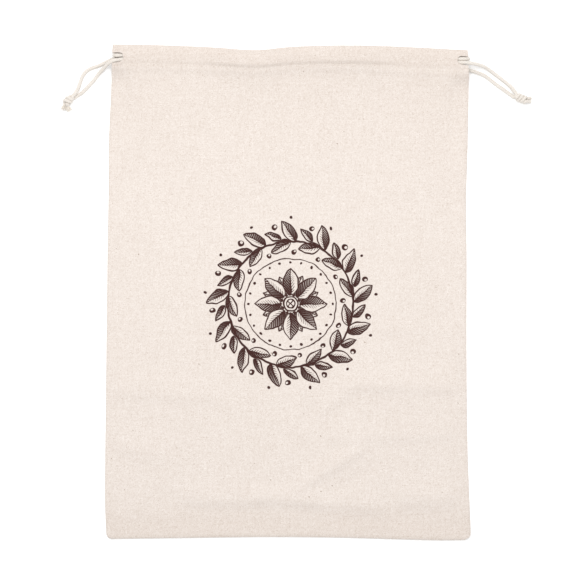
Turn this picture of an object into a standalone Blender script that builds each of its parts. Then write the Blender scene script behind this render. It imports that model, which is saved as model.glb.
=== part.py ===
"""A linen bread bag: an empty drawstring bag that lies flat on its back, with its mouth towards +Y.

Two cloth panels lie on each other, the back one on the surface at z = 0. Each is turned inwards at the
mouth and sewn down once, which makes a casing. Two drawcords run through both casings. The left cord goes
round the right side and has both ends at the left, and the right cord is its mirror image. An overhand knot
ties the two ends of each. The tables are in millimetres and the scene is in metres.
"""

import math

import bmesh
import bpy
from mathutils import Matrix, Vector

MM = 0.001

# Driving dimensions, in millimetres
CLOTH = 1.0
GAP = 0.3
CORD = 3.0
HEM_TAIL = 3.0
KNOT_ENTRY = 4.5
FRONT_STITCH = 16.5
BACK_STITCH = 17.5
CORNER_RADIUS = 4.0
SEAM_ALLOWANCE = 10.0
CROSSING_LIFT = 3.5
FRONT_RAISE = 3.8
STITCH_LIFT = 0.5
CORD_STEP_IN_CASING = 10.0
CORD_STEP_FREE = 5.5
CORD_STEP_IN_TURN = 2.4

# Heights of the middle of each layer where the cords lie in the casings, from the surface up
BACK_CLOTH_Z = CLOTH / 2
BACK_CORD_Z = CLOTH + GAP + CORD / 2
BACK_HEM_Z = BACK_CORD_Z + CORD / 2 + GAP + CLOTH / 2
FRONT_HEM_Z = BACK_HEM_Z + CLOTH + GAP
FRONT_CORD_Z = FRONT_HEM_Z + CLOTH / 2 + GAP + CORD / 2
FRONT_CLOTH_Z = FRONT_CORD_Z + CORD / 2 + GAP + CLOTH / 2
FRONT_FLAT_Z = BACK_CLOTH_Z + CLOTH + GAP
FRONT_STITCH_Z = 7.5

# y, x of the left side, x of the right side
SIDES = (
    (-193.0, -141.2, 142.5),
    (-162.0, -142.4, 141.2),
    (-115.0, -142.5, 139.7),
    (-45.0, -141.8, 139.2),
    (25.0, -140.9, 139.3),
    (72.0, -139.7, 138.6),
    (119.0, -139.3, 139.9),
    (165.0, -137.3, 141.0),
    (193.0, -136.4, 141.0),
)

# x, y of the mouth's edge
TOP_EDGE = (
    (-142.0, 193.0),
    (-107.0, 192.7),
    (-60.0, 190.9),
    (-25.0, 188.7),
    (2.0, 191.1),
    (41.0, 192.0),
    (87.0, 191.3),
    (143.0, 188.3),
)

# x, y of the bottom edge
BOTTOM_EDGE = (
    (-143.0, -192.0),
    (-84.0, -191.2),
    (-14.0, -190.4),
    (41.0, -190.9),
    (90.0, -192.3),
    (120.0, -193.0),
    (143.0, -192.7),
)

# Soft folds of the front cloth: x and y of one end, x and y of the other, half width, height
FOLDS = (
    (42.0, -71.0, 142.0, -75.0, 8.0, 1.5),
    (52.0, -88.0, 142.0, -90.0, 8.0, -0.5),
    (-143.0, -74.0, -38.0, -82.0, 9.0, 0.9),
    (28.0, -103.0, 142.0, -107.0, 9.0, 1.0),
    (8.0, -152.0, 62.0, -120.0, 8.0, 1.2),
    (24.0, -162.0, 74.0, -134.0, 8.0, -0.5),
    (-86.0, -154.0, -26.0, -163.0, 9.0, 1.2),
    (-30.0, -163.0, 20.0, -158.0, 8.0, 1.3),
    (-80.0, -174.0, 34.0, -176.0, 7.0, -0.6),
    (66.0, -158.0, 142.0, -150.0, 11.0, 1.1),
    (84.0, -176.0, 138.0, -178.0, 8.0, -0.6),
    (-142.0, -120.0, -92.0, -126.0, 10.0, 0.7),
    (-70.0, 96.0, 40.0, 118.0, 16.0, 0.5),
    (50.0, 60.0, 120.0, 96.0, 14.0, 0.4),
)

# Distances of the body's rows above the bottom edge, then below the line of stitching
ROWS_FROM_BOTTOM = (0.0, 0.7, 2.2, 5.0, 10.0, 16.0, 22.5, 29.0, 36.0, 43.0, 50.5, 58.0, 66.0, 74.0, 81.5)
ROWS_FROM_BOTTOM += (89.0, 97.0, 104.5, 112.0, 119.0, 127.0, 140.0, 158.0, 178.0, 200.0, 222.0, 244.0)
ROWS_BELOW_STITCH = (110.0, 92.0, 76.0, 62.0, 49.0, 38.0, 29.0, 21.0, 14.0, 8.5, 4.5, 1.6)

# Casing of the front panel: distance below the mouth's edge, height of the middle of the cloth
FRONT_OUTER = (
    (FRONT_STITCH, FRONT_STITCH_Z),
    (15.3, 8.4),
    (14.0, 10.1),
    (12.8, FRONT_CLOTH_Z),
    (9.2, FRONT_CLOTH_Z),
    (5.5, FRONT_CLOTH_Z),
    (4.1, 10.5),
    (2.6, 9.2),
    (1.6, 7.8),
    (1.15, 6.95),
    (0.69, 6.76),
    (0.5, 6.3),
    (0.69, 5.84),
    (1.15, 5.65),
)
FRONT_HEM = (
    (2.4, 5.7),
    (3.8, 6.2),
    (5.5, FRONT_HEM_Z),
    (9.2, FRONT_HEM_Z),
    (12.8, FRONT_HEM_Z),
    (15.0, 6.3),
    (FRONT_STITCH, FRONT_STITCH_Z - CLOTH - GAP),
)

# Casing of the back panel, in the same columns
BACK_OUTER = (
    (BACK_STITCH, BACK_CLOTH_Z),
    (9.2, BACK_CLOTH_Z),
    (1.75, BACK_CLOTH_Z),
    (1.29, 0.69),
    (1.1, 1.15),
    (1.29, 1.61),
    (1.75, 1.8),
)
BACK_HEM = (
    (2.8, 2.5),
    (4.2, 3.9),
    (5.5, BACK_HEM_Z),
    (9.2, BACK_HEM_Z),
    (12.8, BACK_HEM_Z),
    (15.0, 4.1),
    (16.5, 2.5),
    (BACK_STITCH, BACK_CLOTH_Z + CLOTH + GAP),
    (BACK_STITCH + HEM_TAIL, BACK_CLOTH_Z + CLOTH + GAP),
)

# Slits at the ends of the casings: panel, side, lowest y, highest y, x where the slit ends
SLITS = (
    ("front_panel", -1, 177.2, 186.8, -128.6),
    ("front_panel", 1, 176.2, 184.2, 133.4),
    ("back_panel", -1, 179.2, 187.1, -128.6),
    ("back_panel", 1, 171.0, 184.2, 132.6),
)

# Where the two cords cross in each casing: x of the crossing
FRONT_CROSSING_X = -25.0
BACK_CROSSING_X = 45.0

# Left cord from its knot: the strand that leaves the back casing, as x, y, z
LEFT_BACK_STRAND = (
    (-167.3, 153.6, 4.7),
    (-164.6, 157.2, 3.7),
    (-163.2, 160.8, 2.1),
    (-161.8, 164.7, 1.6),
    (-160.4, 168.6, 1.6),
    (-158.1, 171.8, 1.6),
    (-154.8, 174.4, 1.6),
    (-150.3, 176.0, 1.6),
    (-145.9, 177.7, 1.7),
    (-141.4, 179.9, 2.1),
    (-136.6, 181.9, 2.6),
)
# The runs in the casings, as x, distance below the mouth's edge, height above the casing's usual level
LEFT_BACK_RUN = (
    (-130.0, 11.5, 0.0),
    (-50.0, 11.2, 0.0),
    (5.0, 11.0, 0.0),
    (28.0, 10.3, 2.3),
    (45.0, 9.0, CROSSING_LIFT),
    (62.0, 7.7, 2.3),
    (85.0, 7.1, 0.0),
    (115.0, 6.8, 0.0),
    (134.0, 6.8, 0.0),
)
LEFT_FRONT_RUN = (
    (-128.0, 11.9, 0.0),
    (-105.0, 11.3, 0.0),
    (-65.0, 11.0, 0.0),
    (-42.0, 10.3, 2.3),
    (-25.0, 9.1, CROSSING_LIFT),
    (-8.0, 7.8, 2.3),
    (15.0, 7.3, 0.0),
    (60.0, 7.2, 0.0),
    (110.0, 6.8, 0.0),
    (134.0, 6.6, 0.0),
)
LEFT_FRONT_STRAND = (
    (-136.0, 179.9, 8.6),
    (-140.4, 177.8, 7.2),
    (-143.7, 174.6, 4.7),
    (-147.0, 171.3, 2.7),
    (-149.4, 168.2, 1.8),
    (-152.0, 164.9, 1.6),
    (-154.8, 161.9, 1.6),
    (-158.1, 158.3, 1.6),
    (-161.0, 155.6, 1.6),
    (-163.7, 153.9, 1.6),
    (-166.6, 152.2, 1.6),
)
# The same four stretches of the right cord
RIGHT_FRONT_STRAND = (
    (177.5, 155.5, 3.0),
    (174.6, 159.7, 1.9),
    (169.8, 164.0, 1.6),
    (164.7, 167.9, 1.6),
    (159.8, 171.6, 1.9),
    (154.8, 175.0, 3.5),
    (149.8, 177.0, 5.9),
    (143.4, 178.2, 8.0),
)
RIGHT_FRONT_RUN = (
    (-130.0, 8.2, 0.0),
    (-105.0, 7.8, 0.0),
    (-65.0, 7.5, 0.0),
    (-42.0, 7.8, 0.0),
    (-25.0, 9.1, 0.0),
    (-8.0, 10.4, 0.0),
    (15.0, 10.9, 0.0),
    (60.0, 10.8, 0.0),
    (105.0, 10.5, 0.0),
    (134.0, 9.9, 0.0),
)
RIGHT_BACK_RUN = (
    (-130.0, 8.0, 0.0),
    (-50.0, 7.6, 0.0),
    (5.0, 7.5, 0.0),
    (28.0, 7.8, 0.0),
    (45.0, 9.0, 0.0),
    (62.0, 10.3, 0.0),
    (85.0, 10.8, 0.0),
    (115.0, 11.4, 0.0),
    (132.0, 12.6, 0.0),
)
RIGHT_BACK_STRAND = (
    (140.0, 173.9, 2.7),
    (144.0, 172.6, 2.4),
    (148.6, 171.2, 1.9),
    (154.2, 168.6, 1.6),
    (159.2, 164.7, 1.6),
    (163.7, 161.3, 1.6),
    (168.1, 158.3, 1.6),
    (172.5, 155.0, 1.6),
    (175.6, 152.9, 1.7),
)
# X that each cord reaches in its turn round the far side
LEFT_CORD_TURN_X = 141.6
RIGHT_CORD_TURN_X = -135.9

# Knots: x, y, z of the middle, direction of the cord in degrees, length, width, height, turns of the wraps
LEFT_KNOT = (-171.4, 149.6, 3.95, 225.0, 8.0, 7.2, 7.0, 2.0)
RIGHT_KNOT = (182.0, 151.0, 4.05, -21.0, 9.4, 7.6, 7.2, 3.0)
# Cut ends of the knots: x, y, z of the outer end, radius at the knot, radius at the outer end
LEFT_ENDS = (
    (-175.9, 143.9, 3.2, 1.4, 2.1),
    (-171.2, 141.8, 2.7, 1.4, 2.0),
)
RIGHT_ENDS = (
    (190.1, 150.6, 3.7, 1.5, 1.5),
    (189.6, 147.4, 3.4, 1.5, 1.5),
)

# Name of the part, colour, roughness
FINISHES = {
    "front_panel": ((0.87, 0.79, 0.71, 1.0), 0.92),
    "back_panel": ((0.85, 0.77, 0.69, 1.0), 0.92),
    "drawcord_left": ((0.90, 0.84, 0.73, 1.0), 0.85),
    "drawcord_right": ((0.90, 0.84, 0.73, 1.0), 0.85),
    "knot_left": ((0.88, 0.80, 0.67, 1.0), 0.88),
    "knot_right": ((0.88, 0.80, 0.67, 1.0), 0.88),
}


def ease(t):
    """0 before 0, 1 after 1, and a smooth step between."""
    t = min(max(t, 0.0), 1.0)
    return t * t * (3.0 - 2.0 * t)


def mix(a, b, t):
    return a + (b - a) * t


def through(table, at, column=1):
    """Value of a column of the table at a place in its first column, on one smooth curve."""
    last = len(table) - 1
    i = 0
    while i < last - 1 and at > table[i + 1][0]:
        i += 1
    x0, x1 = table[i][0], table[i + 1][0]
    y0, y1 = table[i][column], table[i + 1][column]
    before = table[max(i - 1, 0)]
    after = table[min(i + 2, last)]
    slope0 = (y1 - before[column]) / (x1 - before[0])
    slope1 = (after[column] - y0) / (after[0] - x0)
    t = min(max((at - x0) / (x1 - x0), 0.0), 1.0)
    wide = x1 - x0
    start = (1 + 2 * t) * (1 - t) ** 2 * y0 + t * (1 - t) ** 2 * wide * slope0
    return start + t * t * (3 - 2 * t) * y1 + t * t * (t - 1) * wide * slope1


def top_edge(x):
    return through(TOP_EDGE, x)


def bottom_edge(x):
    return through(BOTTOM_EDGE, x)


def side_x(side, y):
    return through(SIDES, y, 1 if side < 0 else 2)


def across(share, y, corner=0.0):
    """X at a share of the way from the left side to the right one, drawn in at a rounded corner."""
    return mix(side_x(-1, y) + corner, side_x(1, y) - corner, share)


def corner_inset(up):
    """How far a rounded bottom corner draws the side in, at a height above the bottom edge."""
    below = max(CORNER_RADIUS - up, 0.0)
    return CORNER_RADIUS - math.sqrt(CORNER_RADIUS**2 - below**2)


def crossing(x, middle):
    """1 where the two cords cross, and 0 away from there."""
    return 1.0 - ease((abs(x - middle) - 12.0) / 38.0)


def front_lift(x, down, outer):
    """How far the cords' crossings raise a layer of the front casing."""
    lift = FRONT_RAISE * crossing(x, BACK_CROSSING_X)
    if outer:
        lift += FRONT_RAISE * crossing(x, FRONT_CROSSING_X) * ease((down - 1.6) / 4.0)
    return lift * mix(1.0, STITCH_LIFT, ease((down - 12.6) / 4.0))


def back_lift(x, down):
    """How far the crossing in the back casing raises its hem."""
    shape = ease((down - 2.2) / 4.0) * (1.0 - ease((down - 12.6) / 4.4))
    return CROSSING_LIFT * crossing(x, BACK_CROSSING_X) * shape


def fold_height(x, y, fold):
    """Height that one soft fold adds at a point."""
    x0, y0, x1, y1, half_width, height = fold
    run, rise = x1 - x0, y1 - y0
    long = math.hypot(run, rise)
    along = ((x - x0) * run + (y - y0) * rise) / long
    off = ((y - y0) * run - (x - x0) * rise) / long
    ends = ease((along + half_width) / (2 * half_width))
    ends *= ease((long + half_width - along) / (2 * half_width))
    return height * ends * math.exp(-((off / half_width) ** 2))


def front_height(x, y):
    """Height of the middle of the front cloth below its casing."""
    down = top_edge(x) - y
    from_side = min(x - side_x(-1, y), side_x(1, y) - x)
    from_edge = min(from_side, y - bottom_edge(x))
    rim = 0.45 * ease(from_edge / 2.0) - 0.15 * ease((from_edge - SEAM_ALLOWANCE) / 3.0)
    billow = 0.9 * ease((from_edge - SEAM_ALLOWANCE) / 45.0)
    folds = sum(fold_height(x, y, fold) for fold in FOLDS) * ease((from_edge - 1.0) / 16.0)
    below = down - FRONT_STITCH
    slope = math.exp(-below / 25.0) * (1.0 - ease((below - 45.0) / 60.0))
    puff = 0.4 * math.exp(-(((below - 3.0) / 2.5) ** 2))
    open_side = mix(1.0, ease(from_side / (15.0 + 0.3 * below)), ease(below / 14.0))
    crossings = crossing(x, BACK_CROSSING_X) + crossing(x, FRONT_CROSSING_X)
    raised = FRONT_RAISE * STITCH_LIFT * crossings * math.exp(-below / 14.0) * (1.0 - ease(below / 60.0))
    mouth = ((FRONT_STITCH_Z - FRONT_FLAT_Z) * slope + puff + raised) * open_side
    rest = max(rim + billow + folds, 0.0) * ease(below / 30.0)
    return FRONT_FLAT_Z + mouth + rest


def body_place(share, up, below):
    """X and y of a point of the body, a distance up from the bottom edge or below the mouth's edge."""
    y = -190.0 + up if below is None else 190.0 - below
    corner = corner_inset(up) if below is None else 0.0
    for _ in range(3):
        x = across(share, y, corner)
        y = bottom_edge(x) + up if below is None else top_edge(x) - below
    return x, y


def column_shares(wide, edge_columns, step):
    """Shares of the width: a few columns by each side, and even ones between."""
    inner = edge_columns[-1]
    count = round((wide - 2 * inner) / step)
    middle = [inner + (wide - 2 * inner) * i / count for i in range(1, count)]
    places = list(edge_columns) + middle + [wide - e for e in reversed(edge_columns)]
    return [place / wide for place in places]


def front_row(share):
    """Points of the front cloth in one column, from the bottom edge up, over the casing and down its hem."""
    points = []
    for up in ROWS_FROM_BOTTOM:
        x, y = body_place(share, up, None)
        points.append((x, y, front_height(x, y)))
    for below in ROWS_BELOW_STITCH:
        x, y = body_place(share, 0.0, FRONT_STITCH + below)
        points.append((x, y, front_height(x, y)))
    for table, outer in ((FRONT_OUTER, True), (FRONT_HEM, False)):
        for down, z in table:
            x, y = body_place(share, 0.0, down)
            points.append((x, y, z + front_lift(x, down, outer)))
    for tail in (HEM_TAIL / 2, HEM_TAIL):
        x, y = body_place(share, 0.0, FRONT_STITCH + tail)
        points.append((x, y, front_height(x, y) - 1.25 * (CLOTH + GAP)))
    return points


def back_row(share):
    """Points of the back cloth in one column, in the same order."""
    points = []
    for up in (0.0, 0.7, 2.2, 5.0, 30.0, 90.0, 150.0, 210.0, 270.0, 330.0):
        x, y = body_place(share, up, None)
        points.append((x, y, BACK_CLOTH_Z))
    for down, z in BACK_OUTER:
        x, y = body_place(share, 0.0, down)
        points.append((x, y, z))
    for down, z in BACK_HEM:
        x, y = body_place(share, 0.0, down)
        points.append((x, y, z + back_lift(x, down)))
    return points


def empty_scene():
    for obj in list(bpy.data.objects):
        bpy.data.objects.remove(obj, do_unlink=True)


def new_collection(name):
    collection = bpy.data.collections.new(name)
    bpy.context.scene.collection.children.link(collection)
    return collection


def finish_of(name):
    """Principled material of a part."""
    colour, roughness = FINISHES[name]
    material = bpy.data.materials.new(name + "_finish")
    material.use_nodes = True
    shader = material.node_tree.nodes["Principled BSDF"]
    shader.inputs["Base Color"].default_value = colour
    shader.inputs["Roughness"].default_value = roughness
    shader.inputs["Metallic"].default_value = 0.0
    material.diffuse_color = colour
    return material


def add_object(name, data, collection, parent=None):
    obj = bpy.data.objects.new(name, data)
    obj.parent = parent
    collection.objects.link(obj)
    return obj


def add_helper(name, mesh, collection):
    """An object that only cuts or joins another."""
    helper = add_object(name, mesh, collection)
    helper.hide_render = True
    helper.display_type = "WIRE"
    return helper


def smooth(mesh):
    mesh.shade_smooth()
    mesh.set_sharp_from_angle(angle=math.radians(50))


def make_panel(name, rows_of, edge_columns, step, collection, parent):
    """A cloth panel: a grid laid along its rows and columns, then given the cloth's thickness."""
    shares = column_shares(side_x(1, 0.0) - side_x(-1, 0.0), edge_columns, step)
    columns = [rows_of(share) for share in shares]
    wide, tall = len(columns) - 1, len(columns[0]) - 1
    mesh = bpy.data.meshes.new(name)
    shape = bmesh.new()
    bmesh.ops.create_grid(shape, x_segments=wide, y_segments=tall, size=0.5)
    for vertex in shape.verts:
        column = round((vertex.co.x + 0.5) * wide)
        row = round((vertex.co.y + 0.5) * tall)
        vertex.co = Vector(columns[column][row]) * MM
    shape.to_mesh(mesh)
    shape.free()
    panel = add_object(name, mesh, collection, parent)
    mesh.materials.append(finish_of(name))
    sheet = panel.modifiers.new("cloth thickness", "SOLIDIFY")
    sheet.thickness = CLOTH * MM
    sheet.offset = 0.0
    sheet.use_even_offset = True
    smooth(mesh)
    return panel


def cut_slit(panel, side, low, high, end_x, collection):
    """Opens a casing at one side end, with a rounded inner end."""
    outer_x = side * 160.0
    mesh = bpy.data.meshes.new(panel.name + "_slit")
    shape = bmesh.new()
    bmesh.ops.create_cube(shape, size=MM)
    size = (abs(outer_x - end_x), high - low, 40.0)
    middle = ((outer_x + end_x) / 2, (low + high) / 2, 8.0)
    bmesh.ops.scale(shape, vec=size, verts=shape.verts)
    bmesh.ops.translate(shape, vec=Vector(middle) * MM, verts=shape.verts)
    upright = [e for e in shape.edges if abs(e.verts[0].co.z - e.verts[1].co.z) > 30 * MM]
    bmesh.ops.bevel(shape, geom=upright, offset=2.6 * MM, segments=3, affect="EDGES", profile=0.5)
    shape.to_mesh(mesh)
    shape.free()
    cutter = add_helper(f"{panel.name}_slit_{'left' if side < 0 else 'right'}", mesh, collection)
    cut = panel.modifiers.new("slit", "BOOLEAN")
    cut.operation = "DIFFERENCE"
    cut.object = cutter


def catmull(a, b, c, d, t):
    """Point on a smooth curve between b and c."""
    return 0.5 * (2 * b + (c - a) * t + (2 * a - 5 * b + 4 * c - d) * t**2 + (3 * b - a - 3 * c + d) * t**3)


def smooth_route(route):
    """Points along a smooth curve through the route, closer together where it turns."""
    points = [Vector(p) for p in route]
    points = [2 * points[0] - points[1]] + points + [2 * points[-1] - points[-2]]
    kept = [points[1]]
    for i in range(1, len(points) - 2):
        for k in range(1, 25):
            here = catmull(*points[i - 1 : i + 3], k / 24)
            step = CORD_STEP_IN_CASING if abs(here.x) < 125.0 else CORD_STEP_FREE
            if abs(here.x) > 133.0 and 3.2 < here.z < 8.3 and abs(here.x) < 143.0:
                step = CORD_STEP_IN_TURN
            if (here - kept[-1]).length >= step:
                kept.append(here)
    if (points[-2] - kept[-1]).length < CORD:
        kept.pop()
    return kept + [points[-2]]


def in_casing(run, level, lifted):
    """Route points of a run, from its distance below the mouth's edge and the casing's level."""
    points = []
    count = 26
    for k in range(count + 1):
        x = mix(run[0][0], run[-1][0], k / count)
        extra = max(through(run, x, 2), 0.0)
        raised = FRONT_RAISE * crossing(x, BACK_CROSSING_X) if lifted else 0.0
        points.append((x, top_edge(x) - through(run, x), level + extra + raised))
    return points


def turn_round(from_point, to_point, reach_x):
    """Route points of the turn from one casing to the other, round the side."""
    (x0, y0, z0), (x1, y1, z1) = from_point, to_point
    start_x = (x0 + x1) / 2
    points = []
    for angle in (-60, -35, -12, 12, 35, 60):
        t = (math.sin(math.radians(angle)) + 1) / 2
        x = mix(start_x, reach_x, math.cos(math.radians(angle)) ** 0.8)
        points.append((x, mix(y0, y1, t), mix(z0, z1, t)))
    return points


def left_route():
    back = in_casing(LEFT_BACK_RUN, BACK_CORD_Z, False)
    front = in_casing(LEFT_FRONT_RUN, FRONT_CORD_Z, True)[::-1]
    turn = turn_round(back[-1], front[0], LEFT_CORD_TURN_X)
    return list(LEFT_BACK_STRAND) + back + turn + front + list(LEFT_FRONT_STRAND)


def right_route():
    front = in_casing(RIGHT_FRONT_RUN, FRONT_CORD_Z, True)[::-1]
    back = in_casing(RIGHT_BACK_RUN, BACK_CORD_Z, False)
    turn = turn_round(front[-1], back[0], RIGHT_CORD_TURN_X)
    return list(RIGHT_FRONT_STRAND) + front + turn + back + list(RIGHT_BACK_STRAND)


def make_cord(name, points, collection, parent):
    """A drawcord: a tube through its points."""
    curve = bpy.data.curves.new(name, "CURVE")
    curve.dimensions = "3D"
    curve.bevel_depth = CORD / 2 * MM
    curve.bevel_resolution = 2
    curve.use_fill_caps = True
    spline = curve.splines.new("POLY")
    spline.points.add(len(points) - 1)
    for place, point in zip(spline.points, points):
        place.co = (*(point * MM), 1.0)
    curve.materials.append(finish_of(name))
    return add_object(name, curve, collection, parent)


def knot_body(shape, knot):
    """The rounded middle of an overhand knot, with slanting wraps, along its own X axis."""
    long, wide, high, turns = knot[4:]
    bmesh.ops.create_uvsphere(shape, u_segments=20, v_segments=12, radius=0.5)
    for vertex in shape.verts:
        along, turn = vertex.co.z, math.atan2(vertex.co.y, vertex.co.x)
        wrap = 1.0 + 0.09 * math.cos(turn + 2 * math.pi * turns * along) * (1.0 - 4 * along**2)
        side, up = vertex.co.x * wrap, vertex.co.y * wrap
        vertex.co = Vector((along * long, side * wide, up * high)) * MM


def add_stub(name, start, end, near_radius, far_radius, collection):
    """A short round or flared piece of cord that is joined to a knot."""
    mesh = bpy.data.meshes.new(name)
    shape = bmesh.new()
    long = (end - start).length * MM
    wide = (near_radius * MM, far_radius * MM)
    bmesh.ops.create_cone(shape, cap_ends=True, segments=8, radius1=wide[0], radius2=wide[1], depth=long)
    shape.to_mesh(mesh)
    shape.free()
    stub = add_helper(name, mesh, collection)
    turn = (end - start).to_track_quat("Z", "Y").to_matrix().to_4x4()
    stub.matrix_world = Matrix.Translation((start + end) / 2 * MM) @ turn
    return stub


def make_knot(name, knot, ends, cord_points, collection, helpers, parent):
    """An overhand knot: its body, the two strands that come into it and the two ends that leave it."""
    middle = Vector(knot[:3])
    mesh = bpy.data.meshes.new(name)
    shape = bmesh.new()
    knot_body(shape, knot)
    shape.to_mesh(mesh)
    shape.free()
    body = add_object(name, mesh, collection, parent)
    body.location = middle * MM
    body.rotation_euler.z = math.radians(knot[3])
    mesh.materials.append(finish_of(name))
    smooth(mesh)
    stubs = []
    for tip, before in ((cord_points[0], cord_points[1]), (cord_points[-1], cord_points[-2])):
        onward = (tip - before).normalized()
        stubs.append((tip + onward * GAP, tip + onward * (GAP + KNOT_ENTRY), CORD / 2, CORD / 2))
    for x, y, z, near_radius, far_radius in ends:
        stubs.append((middle, Vector((x, y, z)), near_radius, far_radius))
    for i, (start, end, near_radius, far_radius) in enumerate(stubs):
        join = body.modifiers.new("stub", "BOOLEAN")
        join.operation = "UNION"
        join.object = add_stub(f"{name}_stub_{i + 1}", start, end, near_radius, far_radius, helpers)
    return body


def main():
    empty_scene()
    parts = new_collection("linen_bread_bag")
    cutters = new_collection("cutters")
    bag = add_object("bag_frame", None, parts)
    panels = {
        "front_panel": make_panel("front_panel", front_row, (0.0, 1.6, 8.6, 13.0), 13.0, parts, bag),
        "back_panel": make_panel("back_panel", back_row, (0.0, 1.6, 8.6, 13.0), 13.0, parts, bag),
    }
    for panel, side, low, high, end_x in SLITS:
        cut_slit(panels[panel], side, low, high, end_x, cutters)
    left_points = smooth_route(left_route())
    right_points = smooth_route(right_route())
    make_cord("drawcord_left", left_points, parts, bag)
    make_cord("drawcord_right", right_points, parts, bag)
    make_knot("knot_left", LEFT_KNOT, LEFT_ENDS, left_points, parts, cutters, bag)
    make_knot("knot_right", RIGHT_KNOT, RIGHT_ENDS, right_points, parts, cutters, bag)


main()
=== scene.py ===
"""Dressed model of a linen drawstring bread bag that lies flat and empty, seen from straight above.

Sizes in the tables are in millimetres, and every mesh is in metres. The bag's mouth points to +Y and its
printed front faces +Z.
"""

import logging
import math
from dataclasses import dataclass, field
from enum import Enum

import bmesh
import bpy
import numpy as np
from mathutils import Matrix, Vector, noise


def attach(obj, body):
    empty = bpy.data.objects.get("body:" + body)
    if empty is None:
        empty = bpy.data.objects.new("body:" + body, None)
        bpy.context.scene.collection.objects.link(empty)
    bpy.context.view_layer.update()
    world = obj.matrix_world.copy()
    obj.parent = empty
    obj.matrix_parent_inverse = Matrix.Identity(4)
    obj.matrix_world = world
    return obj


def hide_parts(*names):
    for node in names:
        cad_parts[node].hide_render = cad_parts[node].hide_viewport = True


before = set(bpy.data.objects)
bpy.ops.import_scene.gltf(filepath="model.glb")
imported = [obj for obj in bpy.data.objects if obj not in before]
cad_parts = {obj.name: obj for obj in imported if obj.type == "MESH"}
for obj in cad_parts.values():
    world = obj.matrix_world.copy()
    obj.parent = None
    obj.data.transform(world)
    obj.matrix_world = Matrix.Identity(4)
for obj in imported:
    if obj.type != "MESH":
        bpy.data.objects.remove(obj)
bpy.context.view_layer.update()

MM = 0.001
LOG = logging.getLogger("bread_bag")

Table = tuple[tuple[float, ...], ...]
Point = tuple[float, float, float]
Colour = tuple[float, float, float, float]

FLOOR = "white_floor"
WHITE: Colour = (1.0, 1.0, 1.0, 1.0)

# thickness of the cloth and of a cord
CLOTH = 0.7
CORD = 3.0
# how far one cord rises over the other where they cross, and how far that raises the front casing
CROSSING_LIFT = 3.5
FRONT_RAISE = 3.8
FRONT_CROSSING_X = -25.0
BACK_CROSSING_X = 45.0
# heights of the cords' centre lines in the casings
BACK_CORD_Z = 2.8
FRONT_CORD_Z = 8.7
# how far from the bag's middle the cords pass the slits
SLIT_X = 131.0
# usual places and sizes, from which the outline's own are found
MOUTH_Y = 190.0
CASING_Y = 180.0
WIDTH = 281.0
BODY_LENGTH = 372.0


class Side(Enum):
    """Which side of the bag something is at."""

    LEFT = -1
    RIGHT = 1


class Layer(Enum):
    """Which of the bag's two panels something belongs to."""

    FRONT = "front"
    BACK = "back"


# --------------------------------------------------------------------------- shape helpers


def ease(t: np.ndarray | float) -> np.ndarray | float:
    """Smooth step from 0 at 0 to 1 at 1."""
    t = np.clip(t, 0.0, 1.0)
    return t * t * (3.0 - 2.0 * t)


def mix(a: float, b: float, t: float) -> float:
    """Value a share t of the way from a to b."""
    return a + (b - a) * t


def travelled(points: np.ndarray) -> np.ndarray:
    """Distance along a line of points, from its start to each of them."""
    steps = np.linalg.norm(np.diff(points, axis=0), axis=1)
    return np.concatenate([[0.0], np.cumsum(steps)])


def through(table: Table, at: np.ndarray | float, column: int = 1) -> np.ndarray:
    """Read a table along one smooth curve.

    Args:
        table: Rows whose first column rises.
        at: Places in the first column.
        column: Column to read.

    Returns:
        The column's values at those places.
    """
    xs = np.array([row[0] for row in table])
    ys = np.array([row[column] for row in table])
    slopes = np.empty_like(ys)
    slopes[1:-1] = (ys[2:] - ys[:-2]) / (xs[2:] - xs[:-2])
    slopes[0] = (ys[1] - ys[0]) / (xs[1] - xs[0])
    slopes[-1] = (ys[-1] - ys[-2]) / (xs[-1] - xs[-2])
    i = np.clip(np.searchsorted(xs, at) - 1, 0, len(xs) - 2)
    wide = xs[i + 1] - xs[i]
    t = np.clip((at - xs[i]) / wide, 0.0, 1.0)
    start = (1 + 2 * t) * (1 - t) ** 2 * ys[i] + t * (1 - t) ** 2 * wide * slopes[i]
    return start + t * t * (3 - 2 * t) * ys[i + 1] + t * t * (t - 1) * wide * slopes[i + 1]


def smooth_route(route: list[Point], step: float) -> np.ndarray:
    """Points an even step apart along a smooth curve through a route.

    Args:
        route: The points that the curve goes through.
        step: Distance between the points that come back.

    Returns:
        An array with a row for each point.
    """
    samples = 16
    p = np.array(route, dtype=float)
    p = np.vstack([2 * p[0] - p[1], p, 2 * p[-1] - p[-2]])
    fine = []
    for i in range(1, len(p) - 2):
        a, b, c, d = p[i - 1 : i + 3]
        square = 2 * a - 5 * b + 4 * c - d
        cube = 3 * b - a - 3 * c + d
        for t in np.linspace(0, 1, samples, endpoint=False):
            fine.append(0.5 * (2 * b + (c - a) * t + square * t**2 + cube * t**3))
    fine.append(p[-2])
    fine = np.array(fine)
    along = travelled(fine)
    even = np.linspace(0.0, along[-1], max(int(round(along[-1] / step)), 2) + 1)
    return np.stack([np.interp(even, along, fine[:, k]) for k in range(3)], axis=1)


def unevenness(x: np.ndarray, y: np.ndarray, size: float, seed: float) -> np.ndarray:
    """Soft random waves over the cloth.

    Args:
        x: Places across the bag.
        y: Places along the bag.
        size: Length of a wave.
        seed: Chooses one pattern of waves.

    Returns:
        Values from about -1 to 1.
    """
    values = [noise.noise(Vector((a / size, b / size, seed))) for a, b in zip(x.ravel(), y.ravel())]
    return np.array(values).reshape(x.shape)


def deselect() -> None:
    """Leave nothing selected and no piece active."""
    bpy.ops.object.select_all(action="DESELECT")
    bpy.context.view_layer.objects.active = None


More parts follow.
